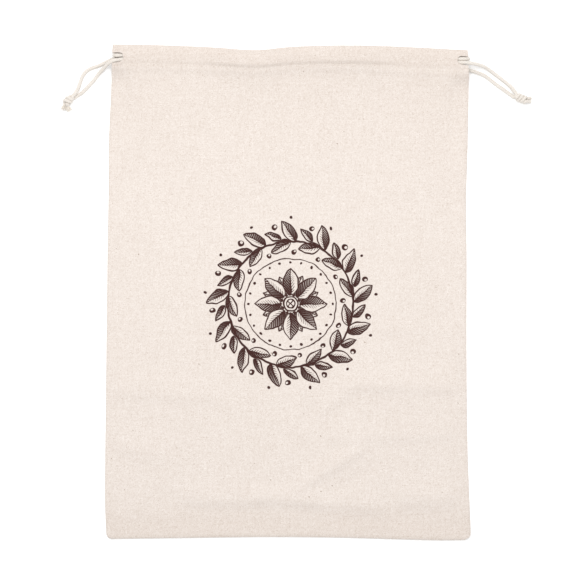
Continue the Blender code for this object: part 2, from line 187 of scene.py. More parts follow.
def activate(piece: bpy.types.Object) -> None:
    """Select one piece alone and make it the active one.

    Args:
        piece: The piece.
    """
    deselect()
    piece.select_set(True)
    bpy.context.view_layer.objects.active = piece


def shade_smooth(piece: bpy.types.Object, degrees: float) -> None:
    """Shade a piece smooth, except at edges that turn by more than an angle."""
    activate(piece)
    bpy.ops.object.shade_smooth_by_angle(angle=math.radians(degrees))


def apply_modifiers(piece: bpy.types.Object) -> None:
    """Apply every modifier of a piece, in order.

    Args:
        piece: The piece.
    """
    activate(piece)
    for modifier in list(piece.modifiers):
        bpy.ops.object.modifier_apply(modifier=modifier.name)


def join(pieces: list[bpy.types.Object], name: str) -> bpy.types.Object:
    """Join pieces into the first one.

    Args:
        pieces: The pieces, each with its own mesh.
        name: Name of the result.

    Returns:
        The joined piece.
    """
    deselect()
    for piece in pieces:
        piece.select_set(True)
    bpy.context.view_layer.objects.active = pieces[0]
    if len(pieces) > 1:
        bpy.ops.object.join()
    pieces[0].name = name
    pieces[0].data.name = name
    return pieces[0]


def lay_grid(name: str, points: np.ndarray) -> bpy.types.Object:
    """A grid primitive whose points are laid where an array says.

    Args:
        name: Name of the piece.
        points: Rows by columns by x, y and z, in millimetres.

    Returns:
        The open sheet.
    """
    rows, columns = points.shape[:2]
    deselect()
    bpy.ops.mesh.primitive_grid_add(x_subdivisions=columns - 1, y_subdivisions=rows - 1, size=1.0)
    piece = bpy.context.object
    piece.name = name
    flat = np.empty(len(piece.data.vertices) * 3)
    piece.data.vertices.foreach_get("co", flat)
    flat = flat.reshape(-1, 3)
    column = np.rint((flat[:, 0] + 0.5) * (columns - 1)).astype(int)
    row = np.rint((flat[:, 1] + 0.5) * (rows - 1)).astype(int)
    piece.data.vertices.foreach_set("co", (points[row, column] * MM).ravel())
    piece.data.update()
    return piece


def tube(name: str, centres: np.ndarray, radii: np.ndarray) -> bpy.types.Object:
    """A closed tube along a line of points.

    Args:
        name: Name of the piece.
        centres: Points of the line, in millimetres.
        radii: Radius of the tube at each point and round it, rows by sides.

    Returns:
        The tube, with a UV map of turns round it and of centimetres along it.
    """
    count, sides = radii.shape
    ahead = np.gradient(centres, axis=0)
    ahead /= np.linalg.norm(ahead, axis=1, keepdims=True)
    across = np.cross(ahead[0], (0.0, 0.0, 1.0))
    if np.linalg.norm(across) < 0.1:
        across = np.cross(ahead[0], (0.0, 1.0, 0.0))
    along = travelled(centres)
    points = np.empty((count, sides + 1, 3))
    for i in range(count):
        across = across - ahead[i] * float(across @ ahead[i])
        across /= np.linalg.norm(across)
        up = np.cross(across, ahead[i])
        for k in range(sides + 1):
            angle = 2 * math.pi * (k % sides) / sides
            points[i, k] = centres[i] + radii[i, k % sides] * (math.cos(angle) * across + math.sin(angle) * up)
    piece = lay_grid(name, points)
    uv = piece.data.uv_layers[0].data
    for loop in piece.data.loops:
        u, v = uv[loop.index].uv
        place = along[min(int(round(v * (count - 1))), count - 1)]
        uv[loop.index].uv = (u, place / 10.0)
    shape = bmesh.new()
    shape.from_mesh(piece.data)
    bmesh.ops.remove_doubles(shape, verts=shape.verts, dist=1e-7)
    rims = [edge for edge in shape.edges if edge.is_boundary]
    bmesh.ops.holes_fill(shape, edges=rims, sides=0)
    bmesh.ops.recalc_face_normals(shape, faces=shape.faces)
    shape.to_mesh(piece.data)
    shape.free()
    return piece


# --------------------------------------------------------------------------- shader helpers


class Value:
    """A number in a shader, used in plain expressions."""

    def __init__(self, shader: "Shader", socket: bpy.types.NodeSocket) -> None:
        """Wrap one output socket of a shader's node."""
        self.shader = shader
        self.socket = socket

    def maths(self, operation: str, *others: "Value | float", clamp: bool = False) -> "Value":
        """Result of a Math node.

        Args:
            operation: The node's operation.
            others: The other values that it works on.
            clamp: Whether the result is kept from 0 to 1.

        Returns:
            The result.
        """
        values = {i + 1: other for i, other in enumerate(others)}
        values[0] = self
        settings = {"operation": operation, "use_clamp": clamp}
        return Value(self.shader, self.shader.node("ShaderNodeMath", settings, values).outputs[0])

    def reflected(self, operation: str, other: float) -> "Value":
        """Result of a Math node in which the number comes first."""
        settings = {"operation": operation}
        return Value(self.shader, self.shader.node("ShaderNodeMath", settings, {0: other, 1: self}).outputs[0])

    def __add__(self, other: "Value | float") -> "Value":
        """Sum."""
        return self.maths("ADD", other)

    def __sub__(self, other: "Value | float") -> "Value":
        """Difference."""
        return self.maths("SUBTRACT", other)

    def __rsub__(self, other: float) -> "Value":
        """Difference from a number."""
        return self.reflected("SUBTRACT", other)

    def __mul__(self, other: "Value | float") -> "Value":
        """Product."""
        return self.maths("MULTIPLY", other)

    def __truediv__(self, other: "Value | float") -> "Value":
        """Quotient."""
        return self.maths("DIVIDE", other)

    def __pow__(self, other: "Value | float") -> "Value":
        """Power."""
        return self.maths("POWER", other)

    def __abs__(self) -> "Value":
        """Size without its sign."""
        return self.maths("ABSOLUTE")

    __radd__ = __add__
    __rmul__ = __mul__

    def over(self, limit: "Value | float") -> "Value":
        """1 where the value is over a limit."""
        return self.maths("GREATER_THAN", limit)

    def least(self, other: "Value | float") -> "Value":
        """The smaller of two values."""
        return self.maths("MINIMUM", other)

    def most(self, other: "Value | float") -> "Value":
        """The larger of two values."""
        return self.maths("MAXIMUM", other)

    def ramp(self, low: float, high: float) -> "Value":
        """Straight ramp from 0 at one value to 1 at another, kept between them."""
        return ((self - low) * (1.0 / (high - low))).maths("ADD", 0.0, clamp=True)


class Shader:
    """The nodes of one material."""

    def __init__(self, name: str) -> None:
        """Start a material with nothing but its output.

        Args:
            name: Name of the material.
        """
        self.material = bpy.data.materials.new(name)
        self.material.use_nodes = True
        self.tree = self.material.node_tree
        self.tree.nodes.clear()
        self.output = self.tree.nodes.new("ShaderNodeOutputMaterial")

    def node(self, kind: str, settings: dict | None = None, values: dict | None = None) -> bpy.types.Node:
        """Add a node.

        Args:
            kind: The node's type.
            settings: What is set on the node itself, first.
            values: What each input gets, by name or number: a number, a colour, a value or a socket.

        Returns:
            The node.
        """
        node = self.tree.nodes.new(kind)
        for key, setting in (settings or {}).items():
            setattr(node, key, setting)
        for key, value in (values or {}).items():
            if isinstance(value, Value):
                self.tree.links.new(value.socket, node.inputs[key])
            elif isinstance(value, bpy.types.NodeSocket):
                self.tree.links.new(value, node.inputs[key])
            else:
                node.inputs[key].default_value = value
        return node

    def value(self, node: bpy.types.Node, name: str | int = 0) -> Value:
        """An output of a node, for use in expressions."""
        return Value(self, node.outputs[name])

    def place(self, unit: float) -> tuple[Value, Value, Value]:
        """Place on the object.

        Args:
            unit: The unit, in metres.

        Returns:
            X, Y and Z in that unit.
        """
        where = self.node("ShaderNodeTexCoord").outputs["Object"]
        parts = self.node("ShaderNodeSeparateXYZ", None, {0: where})
        x, y, z = (self.value(parts, i) * (1.0 / unit) for i in range(3))
        return x, y, z

    def point(self, x: Value | float, y: Value | float, z: Value | float = 0.0) -> bpy.types.NodeSocket:
        """A vector of three values."""
        return self.node("ShaderNodeCombineXYZ", None, {0: x, 1: y, 2: z}).outputs[0]

    def noise(self, point: bpy.types.NodeSocket, scale: float, detail: float = 2.0) -> Value:
        """Soft noise from 0 to 1 at a point."""
        values = {"Vector": point, "Scale": scale, "Detail": detail}
        return self.value(self.node("ShaderNodeTexNoise", None, values), "Fac")

    def blend(self, share: Value | float, low: object, high: object) -> bpy.types.NodeSocket:
        """Mix of two colours."""
        settings = {"data_type": "RGBA"}
        return self.node("ShaderNodeMix", settings, {0: share, 6: low, 7: high}).outputs[2]

    def finish(self, colour: object, roughness: object, normal: object = None, **fixed: float) -> bpy.types.Material:
        """Close the material with a Principled shader.

        Args:
            colour: Base colour.
            roughness: Roughness.
            normal: Socket of a bumped normal.
            fixed: Other inputs that are the same all over.

        Returns:
            The material.
        """
        values = {"Base Color": colour, "Roughness": roughness}
        if normal is not None:
            values["Normal"] = normal
        values.update({name.replace("_", " "): number for name, number in fixed.items()})
        shader = self.node("ShaderNodeBsdfPrincipled", None, values)
        self.tree.links.new(shader.outputs[0], self.output.inputs[0])
        return self.material


@dataclass(frozen=True)
class WreathPrint:
    """Ink of the printed wreath: leafy sprigs and berries round a flower, in hatched lines.

    Sizes are in millimetres and measured from the middle of the print.
    """

    centre: tuple[float, float] = (2.0, -9.0)
    stem_radius: float = 49.0
    sprigs: int = 13
    line: float = 0.58
    # a sprig's leaves: angle, place along the stem, length, half width, distance between hatching lines
    leaves: Table = ((47.0, 1.5, 20.0, 5.0, 1.9), (-40.0, 6.0, 18.0, 4.4, 1.9), (14.0, 13.0, 14.5, 3.3, 1.8))
    # a sprig's berries: place along the stem, height over it, radius, share that gleams
    berries: Table = ((19.6, 9.0, 2.3, 0.4), (2.4, -8.4, 2.0, 0.38), (7.4, 17.6, 1.15, 0.0))
    # the flower's rings of petals, from the front: turn in sectors, start, length, half width
    petals: Table = ((0.5, 6.6, 22.0, 6.4), (1.0, 6.0, 17.5, 4.4))
    petal_count: int = 8
    beads: int = 24

    def turned(self, x: Value, y: Value, angle: float) -> tuple[Value, Value]:
        """Coordinates along and across a direction at an angle in degrees."""
        c, s = math.cos(math.radians(angle)), math.sin(math.radians(angle))
        return x * c + y * s, y * c - x * s

    def sector(self, x: Value, y: Value, count: int, shift: float) -> tuple[Value, Value, Value]:
        """Fold the plane into equal sectors.

        Args:
            x: Place across.
            y: Place up.
            count: Number of sectors.
            shift: Turn of the first sector, in sectors.

        Returns:
            Distance outwards and sideways from the sector's first edge, and the sector's number.
        """
        angle = y.maths("ARCTAN2", x) * (count / (2 * math.pi)) + (shift + count)
        number = angle.maths("FLOOR")
        inside = (angle - number) * (2 * math.pi / count)
        far = (x * x + y * y).maths("SQRT")
        return far * inside.maths("COSINE"), far * inside.maths("SINE"), number

    def leaf(self, x: Value, y: Value, long: float, wide: float, pitch: float) -> tuple[Value, Value]:
        """One hatched leaf that lies along x from the origin.

        Args:
            x: Place along the leaf.
            y: Place across it.
            long: Its length.
            wide: Half of its width.
            pitch: Distance between the lines of its hatching.

        Returns:
            The ink, and the leaf's own area.
        """
        along = (x * (1.0 / long)).most(0.0).least(1.0)
        half = (along * (1.0 - along) * 4.0) ** 0.8 * wide * (1.25 - along * 0.5)
        side = abs(y)
        depth = half - side
        within = x.over(0.0) * (long - x).over(0.0)
        area = depth.ramp(-0.2, 0.1) * within
        rim = (self.line - abs(depth - self.line * 0.9)).ramp(-0.15, 0.15) * within
        rib = (0.55 - side + (0.5 - along) * 0.7).ramp(-0.12, 0.12)
        phase = (x - side * 1.1) * (1.0 / pitch)
        wave = abs(phase - phase.maths("ROUND")) * 2.0
        dark_half = y.ramp(-0.3, 0.3)
        duty = dark_half * 0.62 + 0.24 + (0.55 - along) * 0.5
        short = (0.75 - side / (half + 0.2) - (1.0 - dark_half) * 0.3 + dark_half).over(0.0)
        hatch = (duty - wave).ramp(-0.15, 0.15) * short
        return rim.most(area * rib.most(hatch)), area

    def dot(self, x: Value, y: Value, at: tuple[float, ...], radius: float, hollow: float) -> Value:
        """A round dot.

        Args:
            x: Place across.
            y: Place up.
            at: Middle of the dot.
            radius: Its radius.
            hollow: Size of the bright spot in it, as a share of the radius.

        Returns:
            The ink.
        """
        dx, dy = x - at[0], y - at[1]
        far = (dx * dx + dy * dy).maths("SQRT")
        ink = (radius - far).ramp(-0.15, 0.15)
        if hollow:
            gx, gy = dx + radius * 0.28, dy - radius * 0.28
            gleam = (radius * hollow - (gx * gx + gy * gy).maths("SQRT")).ramp(-0.15, 0.15)
            ink = ink * (1.0 - gleam)
        return ink

    def sprig(self, shader: Shader, x: Value, y: Value) -> list[Value]:
        """Leaves and berries of the sprigs round the stem.

        Args:
            shader: The shader.
            x: Place across, from the middle of the print.
            y: Place up.

        Returns:
            The ink of each leaf and berry.
        """
        out, side, number = self.sector(x, y, self.sprigs, 0.0)
        tone = shader.value(shader.node("ShaderNodeTexWhiteNoise", {"noise_dimensions": "1D"}, {"W": number}))
        rise = out - self.stem_radius
        parts = []
        for angle, at, long, wide, pitch in self.leaves:
            along, over = self.turned(side - at, rise - (tone - 0.5) * 1.6, angle)
            parts.append(self.leaf(along, over, long, wide, pitch)[0])
        for *at, radius, gleam in self.berries:
            parts.append(self.dot(side, rise, at, radius, gleam))
        return parts

    def rings(self, x: Value, y: Value, far: Value) -> list[Value]:
        """Ink of the stem, of a ring of beads and of a thin ring inside it.

        Args:
            x: Place across, from the middle of the print.
            y: Place up.
            far: Distance from the middle.

        Returns:
            The ink of each ring.
        """
        out, side, _ = self.sector(x, y, self.beads, 0.5)
        return [
            (0.85 - abs(far - self.stem_radius)).ramp(-0.2, 0.2),
            self.dot(out, side - 4.3, (32.4, 0.0), 1.05, 0.0),
            (0.42 - abs(far - 35.6)).ramp(-0.15, 0.15),
        ]

    def flower(self, x: Value, y: Value) -> Value:
        """Two rings of petals, one behind the other.

        Args:
            x: Place across, from the middle of the print.
            y: Place up.

        Returns:
            The ink of both.
        """
        rings = []
        middle = math.pi / self.petal_count
        for shift, start, long, wide in self.petals:
            out, side, _ = self.sector(x, y, self.petal_count, shift)
            along = out * math.cos(middle) + side * math.sin(middle) - start
            over = side * math.cos(middle) - out * math.sin(middle)
            rings.append(self.leaf(along, over, long, wide, 2.0))
        (front, covered), (behind, _) = rings
        return front.most(behind * (1.0 - covered))

    def heart(self, x: Value, y: Value, far: Value) -> list[Value]:
        """Ink of the flower's middle.

        Args:
            x: Place across, from the middle of the print.
            y: Place up.
            far: Distance from the middle.

        Returns:
            The ink of its two circles and of its crossed lines.
        """
        circles = [(wide - abs(far - radius)).ramp(-0.12, 0.12) for radius, wide in ((5.6, 0.6), (3.4, 0.5))]
        cross = abs(((x + y) * 0.75).maths("SINE")).least(abs(((x - y) * 0.75).maths("SINE")))
        return [*circles, (0.45 - cross).ramp(-0.1, 0.1) * (3.4 - far).over(0.0)]

    def ink(self, shader: Shader, x: Value, y: Value) -> Value:
        """Share of the cloth that the ink covers.

        Args:
            shader: The shader.
            x: Place across the bag, in millimetres.
            y: Place along it.

        Returns:
            The ink, from 0 to 1.
        """
        wander = shader.noise(shader.point(x, y), 0.11, 1.0)
        waver = shader.noise(shader.point(y, x, 7.0), 0.13, 1.0)
        x = x - self.centre[0] + (wander - 0.5) * 3.0
        y = y - self.centre[1] + (waver - 0.5) * 3.0
        far = (x * x + y * y).maths("SQRT")
        ink = self.flower(x, y)
        for part in (*self.sprig(shader, x, y), *self.rings(x, y, far), *self.heart(x, y, far)):
            ink = ink.most(part)
        return ink


@dataclass(frozen=True)
class LinenFinish:
    """Plain-woven linen with uneven threads, slubs and small dark flecks. Sizes are in millimetres."""

    name: str
    # shade and light: ends of the cloth's uneven tone, which also carry the painted shade between the threads and
    # over the casing and the foot
    shade: Colour = (0.520, 0.431, 0.366, 1.0)
    light: Colour = (0.890, 0.837, 0.796, 1.0)
    fleck: Colour = (0.270, 0.185, 0.125, 1.0)
    ink_colour: Colour = (0.047, 0.015, 0.012, 1.0)
    warp: float = 0.68
    weft: float = 0.74
    printed: WreathPrint | None = None
    # where the threads of the front turn down at the fold of the mouth
    fold_y: float = 180.0
    fold_z: float = 11.0
    # flecks: size of the cells with at most one each, what a cell's random number has to be over, seed
    flecks: Table = ((9.0, 0.78, 21.0), (4.3, 0.82, 27.0))

    def thread_tone(self, shader: Shader, across: Value, along: Value, seed: float) -> tuple[Value, Value]:
        """Tone of one set of threads.

        Args:
            shader: The shader.
            across: Place across the threads, in threads.
            along: Place along them, in millimetres.
            seed: Chooses one set of threads.

        Returns:
            The tone, with each thread's own streaks, and how thick and dark the thread is there.
        """
        thread = across.maths("FLOOR")
        dash = shader.noise(shader.point(thread * 7.37, along * 0.5, seed), 1.0, 1.0)
        streak = shader.noise(shader.point(thread * 5.13, along * 0.055, seed + 1.0), 1.0, 1.0)
        fibre = shader.noise(shader.point(across * 4.0 + along * 3.0, along * 1.3, seed + 2.0), 1.0, 2.0)
        tone = (dash - 0.5) * 0.62 + (streak - 0.5) * 0.28 + (fibre - 0.5) * 0.55
        return tone, (1.0 - dash).ramp(0.64, 0.78)

    def weave(self, shader: Shader, x: Value, y: Value) -> tuple[Value, Value, Value]:
        """Weave warp threads along y with weft threads along x.

        Args:
            shader: The shader.
            x: Place across the bag, in millimetres.
            y: Place along it.

        Returns:
            The tone of the upper thread, how thick and dark it is, and how high it stands.
        """
        across_warp, across_weft = x * (1.0 / self.warp), y * (1.0 / self.weft)
        warp_wave, weft_wave = (across_warp * math.pi).maths("SINE"), (across_weft * math.pi).maths("SINE")
        warp_top = warp_wave.maths("SIGN") * weft_wave * 0.55 + abs(warp_wave) ** 0.7
        weft_top = abs(weft_wave) ** 0.7 - weft_wave.maths("SIGN") * warp_wave * 0.55
        over = (warp_top - weft_top).ramp(-0.12, 0.12)
        warp_tone, warp_slub = self.thread_tone(shader, across_warp, y, 1.0)
        weft_tone, weft_slub = self.thread_tone(shader, across_weft, x, 31.0)
        tone = over * warp_tone + (1.0 - over) * weft_tone
        slub = over * warp_slub + (1.0 - over) * weft_slub
        return tone, slub, warp_top.most(weft_top) * 0.65

    def painted_darkening(self, y: Value) -> Value:
        """How much the colour is lowered: painted shade over the casing, where the cords bulge under it, a lower
        tone over the upper part towards the mouth, and painted shade towards the foot of the cloth.
        """
        # painted shade over the casing and at the foot; the upper part is only toned down towards the mouth
        casing, upper = y.ramp(174.5, 176.5) * 0.06, y.ramp(60.0, 170.0) * 0.05
        return casing + upper + (1.0 - y.ramp(-180.0, -164.0)) * 0.09

    def speckled(self, shader: Shader, x: Value, y: Value, colour: bpy.types.NodeSocket) -> bpy.types.NodeSocket:
        """Scatter the flecks over a colour.

        Args:
            shader: The shader.
            x: Place across the bag, in millimetres.
            y: Place along it.
            colour: Colour of the clean cloth.

        Returns:
            The colour with its flecks.
        """
        ragged = (shader.noise(shader.point(x, y, 41.0), 1.6, 1.0) - 0.5) * 1.6
        for cell, limit, seed in self.flecks:
            where = shader.point((x + ragged) * (1.0 / cell), (y - ragged) * (1.0 / cell), seed)
            cells = shader.node("ShaderNodeTexVoronoi", None, {"Vector": where, "Scale": 1.0})
            hue = shader.node("ShaderNodeSeparateXYZ", None, {0: cells.outputs["Color"]})
            chosen, strength = shader.value(hue, 0), shader.value(hue, 1)
            size = (strength * 0.35 + 0.25) * (1.0 / cell)
            speck = (size - shader.value(cells, "Distance")).ramp(0.0, 0.3 / cell) * chosen.over(limit)
            colour = shader.blend(speck * (strength**3.0 * 0.8 + 0.16), colour, self.fleck)
        return colour

    def material(self) -> bpy.types.Material:
        """Build the material.

        Returns:
            The material, which reads Object coordinates.
        """
        shader = Shader(self.name)
        x, y, z = shader.place(MM)
        bend_x = x + (shader.noise(shader.point(x, y), 0.05, 1.0) - 0.5) * 3.0
        bend_y = y + (shader.noise(shader.point(x, y, 5.0), 0.05, 1.0) - 0.5) * 3.0
        if self.printed:
            bend_y = bend_y + (self.fold_z - z).most(0.0) * y.over(self.fold_y)
        tone, slub, crown = self.weave(shader, bend_x, bend_y)
        patch = shader.noise(shader.point(x, y, 2.0), 0.022, 2.0)
        # painted shade: the colour sinks where the weave stands low, between the threads' crowns, and the casing and
        # the foot get painted shade as well
        mixed = tone * 1.3 + (crown - 0.8) * 0.6 + (patch - 0.5) * 0.05 - slub * 0.14 + 0.57 - self.painted_darkening(y)
        colour = self.speckled(shader, x, y, shader.blend(mixed.ramp(0.0, 1.0), self.shade, self.light))
        height = crown * 0.75 + tone * 0.5 + slub * 0.25
        roughness = 0.92 - crown * 0.06
        if self.printed:
            ink = self.printed.ink(shader, x, y)
            worn = shader.noise(shader.point(x, y, 17.0), 0.8, 2.0).ramp(0.22, 0.42)
            held = ink * (worn * 0.09 + 0.88 + crown * 0.05)
            colour = shader.blend(held.least(1.0), colour, self.ink_colour)
            roughness = roughness - ink * 0.12
        bump = shader.node("ShaderNodeBump", None, {"Strength": 0.35, "Distance": 0.2 * MM, "Height": height})
        return shader.finish(colour, roughness, bump.outputs[0], Specular_IOR_Level=0.15, Sheen_Weight=0.05)


@dataclass(frozen=True)
class CottonFinish:
    """Soft braided cotton, as on the cords and their knots, or plain twisted thread."""

    name: str
    # colour of the braid's crowns, and shade, the painted shade in its grooves; between them lies its uneven tone
    colour: Colour = (0.800, 0.752, 0.695, 1.0)
    shade: Colour = (0.540, 0.480, 0.420, 1.0)
    plaits: int = 6
    pitch: float = 2.2
    strength: float = 0.7

    def material(self) -> bpy.types.Material:
        """Build the material.

        Returns:
            The material, which reads the piece's own UV map: turns round it and centimetres along it.
        """
        shader = Shader(self.name)
        where = shader.node("ShaderNodeUVMap").outputs[0]
        parts = shader.node("ShaderNodeSeparateXYZ", None, {0: where})
        around = shader.value(parts, 0)
        along = shader.value(parts, 1) * (10.0 / self.pitch)
        right = ((around * self.plaits + along) * math.pi).maths("SINE")
        left = ((around * self.plaits - along) * math.pi).maths("SINE")
        over = (right * left).ramp(-0.3, 0.3)
        crown = over * abs(right) + (1.0 - over) * abs(left)
        x, y, z = shader.place(MM)
        fibre = shader.noise(shader.point(x, y, z), 2.2, 3.0)
        patch = shader.noise(shader.point(x, y, z), 0.25, 2.0)
        # painted shade: the braid takes the shade colour in the grooves between its plaits, where the crown is low;
        # fibre and patch add uneven tone
        share = (crown * 0.75 + (fibre - 0.5) * 0.5 + (patch - 0.5) * 0.4 + 0.25).ramp(0.0, 1.0)
        colour = shader.blend(share, self.shade, self.colour)
        values = {"Strength": self.strength, "Distance": 0.3 * MM, "Height": crown * 0.8 + fibre * 0.3}
        bump = shader.node("ShaderNodeBump", None, values)
        return shader.finish(colour, 0.88 - fibre * 0.06, bump.outputs[0], Sheen_Weight=0.2, Sheen_Roughness=0.5)


@dataclass(frozen=True)
class FibreFinish:
    """Loose pale fibres at the cut ends of the cords."""

    name: str = "cord_fibres"
    colour: Colour = (0.880, 0.830, 0.770, 1.0)
    shade: Colour = (0.740, 0.680, 0.600, 1.0)

    def material(self) -> bpy.types.Material:
        """Build the material.

        Returns:
            The material, which reads Object coordinates.
        """
        shader = Shader(self.name)
        x, y, z = shader.place(MM)
        share = shader.noise(shader.point(x, y, z), 1.3, 2.0).ramp(0.3, 0.6)
        return shader.finish(shader.blend(share, self.shade, self.colour), 0.9, None, Specular_IOR_Level=0.1)


@dataclass(frozen=True)
class TableFinish:
    """The plain white surface under the bag."""

    name: str = "white_surface"
    low: Colour = (0.92, 0.92, 0.92, 1.0)
    high: Colour = (0.94, 0.94, 0.94, 1.0)
    glow: float = 0.14

    def material(self) -> bpy.types.Material:
        """Build the material.

        Returns:
            The material, which reads Object coordinates.
        """
        shader = Shader(self.name)
        x, y, _ = shader.place(1.0)
        colour = shader.blend(shader.noise(shader.point(x, y), 30.0, 2.0), self.low, self.high)
        glow = {"Emission_Color": WHITE, "Emission_Strength": self.glow}
        return shader.finish(colour, 0.95, None, Specular_IOR_Level=0.0, **glow)


# --------------------------------------------------------------------------- the bag


@dataclass(frozen=True)
class Outline:
    """Outline of the bag as it lies, seen from above, and its line of stitching."""

    # y, and x of the left and of the right side
    sides: Table = (
        (-193.0, -141.2, 142.5), (-162.0, -142.4, 141.2), (-115.0, -142.1, 139.6), (-45.0, -141.3, 138.9),
        (25.0, -140.5, 139.0), (72.0, -139.7, 138.6), (119.0, -139.3, 139.9), (165.0, -137.3, 140.6),
        (193.0, -136.4, 139.7),
    )
    # x and y of the mouth's edge
    mouth: Table = (
        (-142.0, 193.0), (-107.0, 192.7), (-60.0, 190.9), (-25.0, 188.7), (2.0, 191.1), (41.0, 192.0),
        (87.0, 191.3), (143.0, 188.3),
    )
    # x and y of the bottom edge
    bottom: Table = (
        (-143.0, -192.0), (-84.0, -191.2), (-14.0, -190.4), (41.0, -190.9), (90.0, -192.3), (120.0, -193.0),
        (143.0, -192.7),
    )
    # x, and distance of the stitching below the mouth's edge
    stitching: Table = (
        (-143.0, 15.2), (-90.0, 14.9), (-40.0, 14.4), (0.0, 14.3), (45.0, 14.7), (75.0, 15.8), (105.0, 16.4),
        (143.0, 16.3),
    )
    corner_radius: float = 4.0

    def side(self, side: Side, y: np.ndarray) -> np.ndarray:
        """X of one side of the bag."""
        return through(self.sides, y, 1 if side is Side.LEFT else 2)

    def top(self, x: np.ndarray) -> np.ndarray:
        """Y of the mouth's edge."""
        return through(self.mouth, x)

    def foot(self, x: np.ndarray) -> np.ndarray:
        """Y of the bottom edge."""
        return through(self.bottom, x)

    def across(self, share: np.ndarray, y: np.ndarray, inset: np.ndarray | float = 0.0) -> np.ndarray:
        """X at a share of the way from the left side to the right one.

        Args:
            share: Share of the way.
            y: Where along the bag.
            inset: How far both sides are drawn in.

        Returns:
            The places across the bag.
        """
        left = self.side(Side.LEFT, y) + inset
        right = self.side(Side.RIGHT, y) - inset
        return left + (right - left) * share

    def corner(self, up: np.ndarray) -> np.ndarray:
        """How far a rounded bottom corner draws the side in, by height above the bottom edge."""
        below = np.clip(self.corner_radius - up, 0.0, None)
        return self.corner_radius - np.sqrt(self.corner_radius**2 - below**2)


@dataclass(frozen=True)
class Slit:
    """Opening at the end of a casing.

    Its middle is measured from the mouth's edge, its two lips from the middle, and its length from the bag's side.
    Towards the side, the lower lip falls by the lean.
    """

    side: Side
    middle: float
    above: float
    below: float
    length: float
    lean: float = 0.0

    def lips(self, from_edge: np.ndarray | float) -> tuple[np.ndarray, np.ndarray]:
        """How far the slit stands open.

        Args:
            from_edge: Distance from the bag's side.

        Returns:
            Distances of the upper and the lower lip from the middle.
        """
        open_share = np.clip(1.0 - (from_edge / self.length) ** 6, 0.0, 1.0) ** 0.5
        fall = self.lean * np.clip(1.0 - from_edge / self.length, 0.0, 1.0)
        return self.above * open_share, (self.below + fall) * open_share


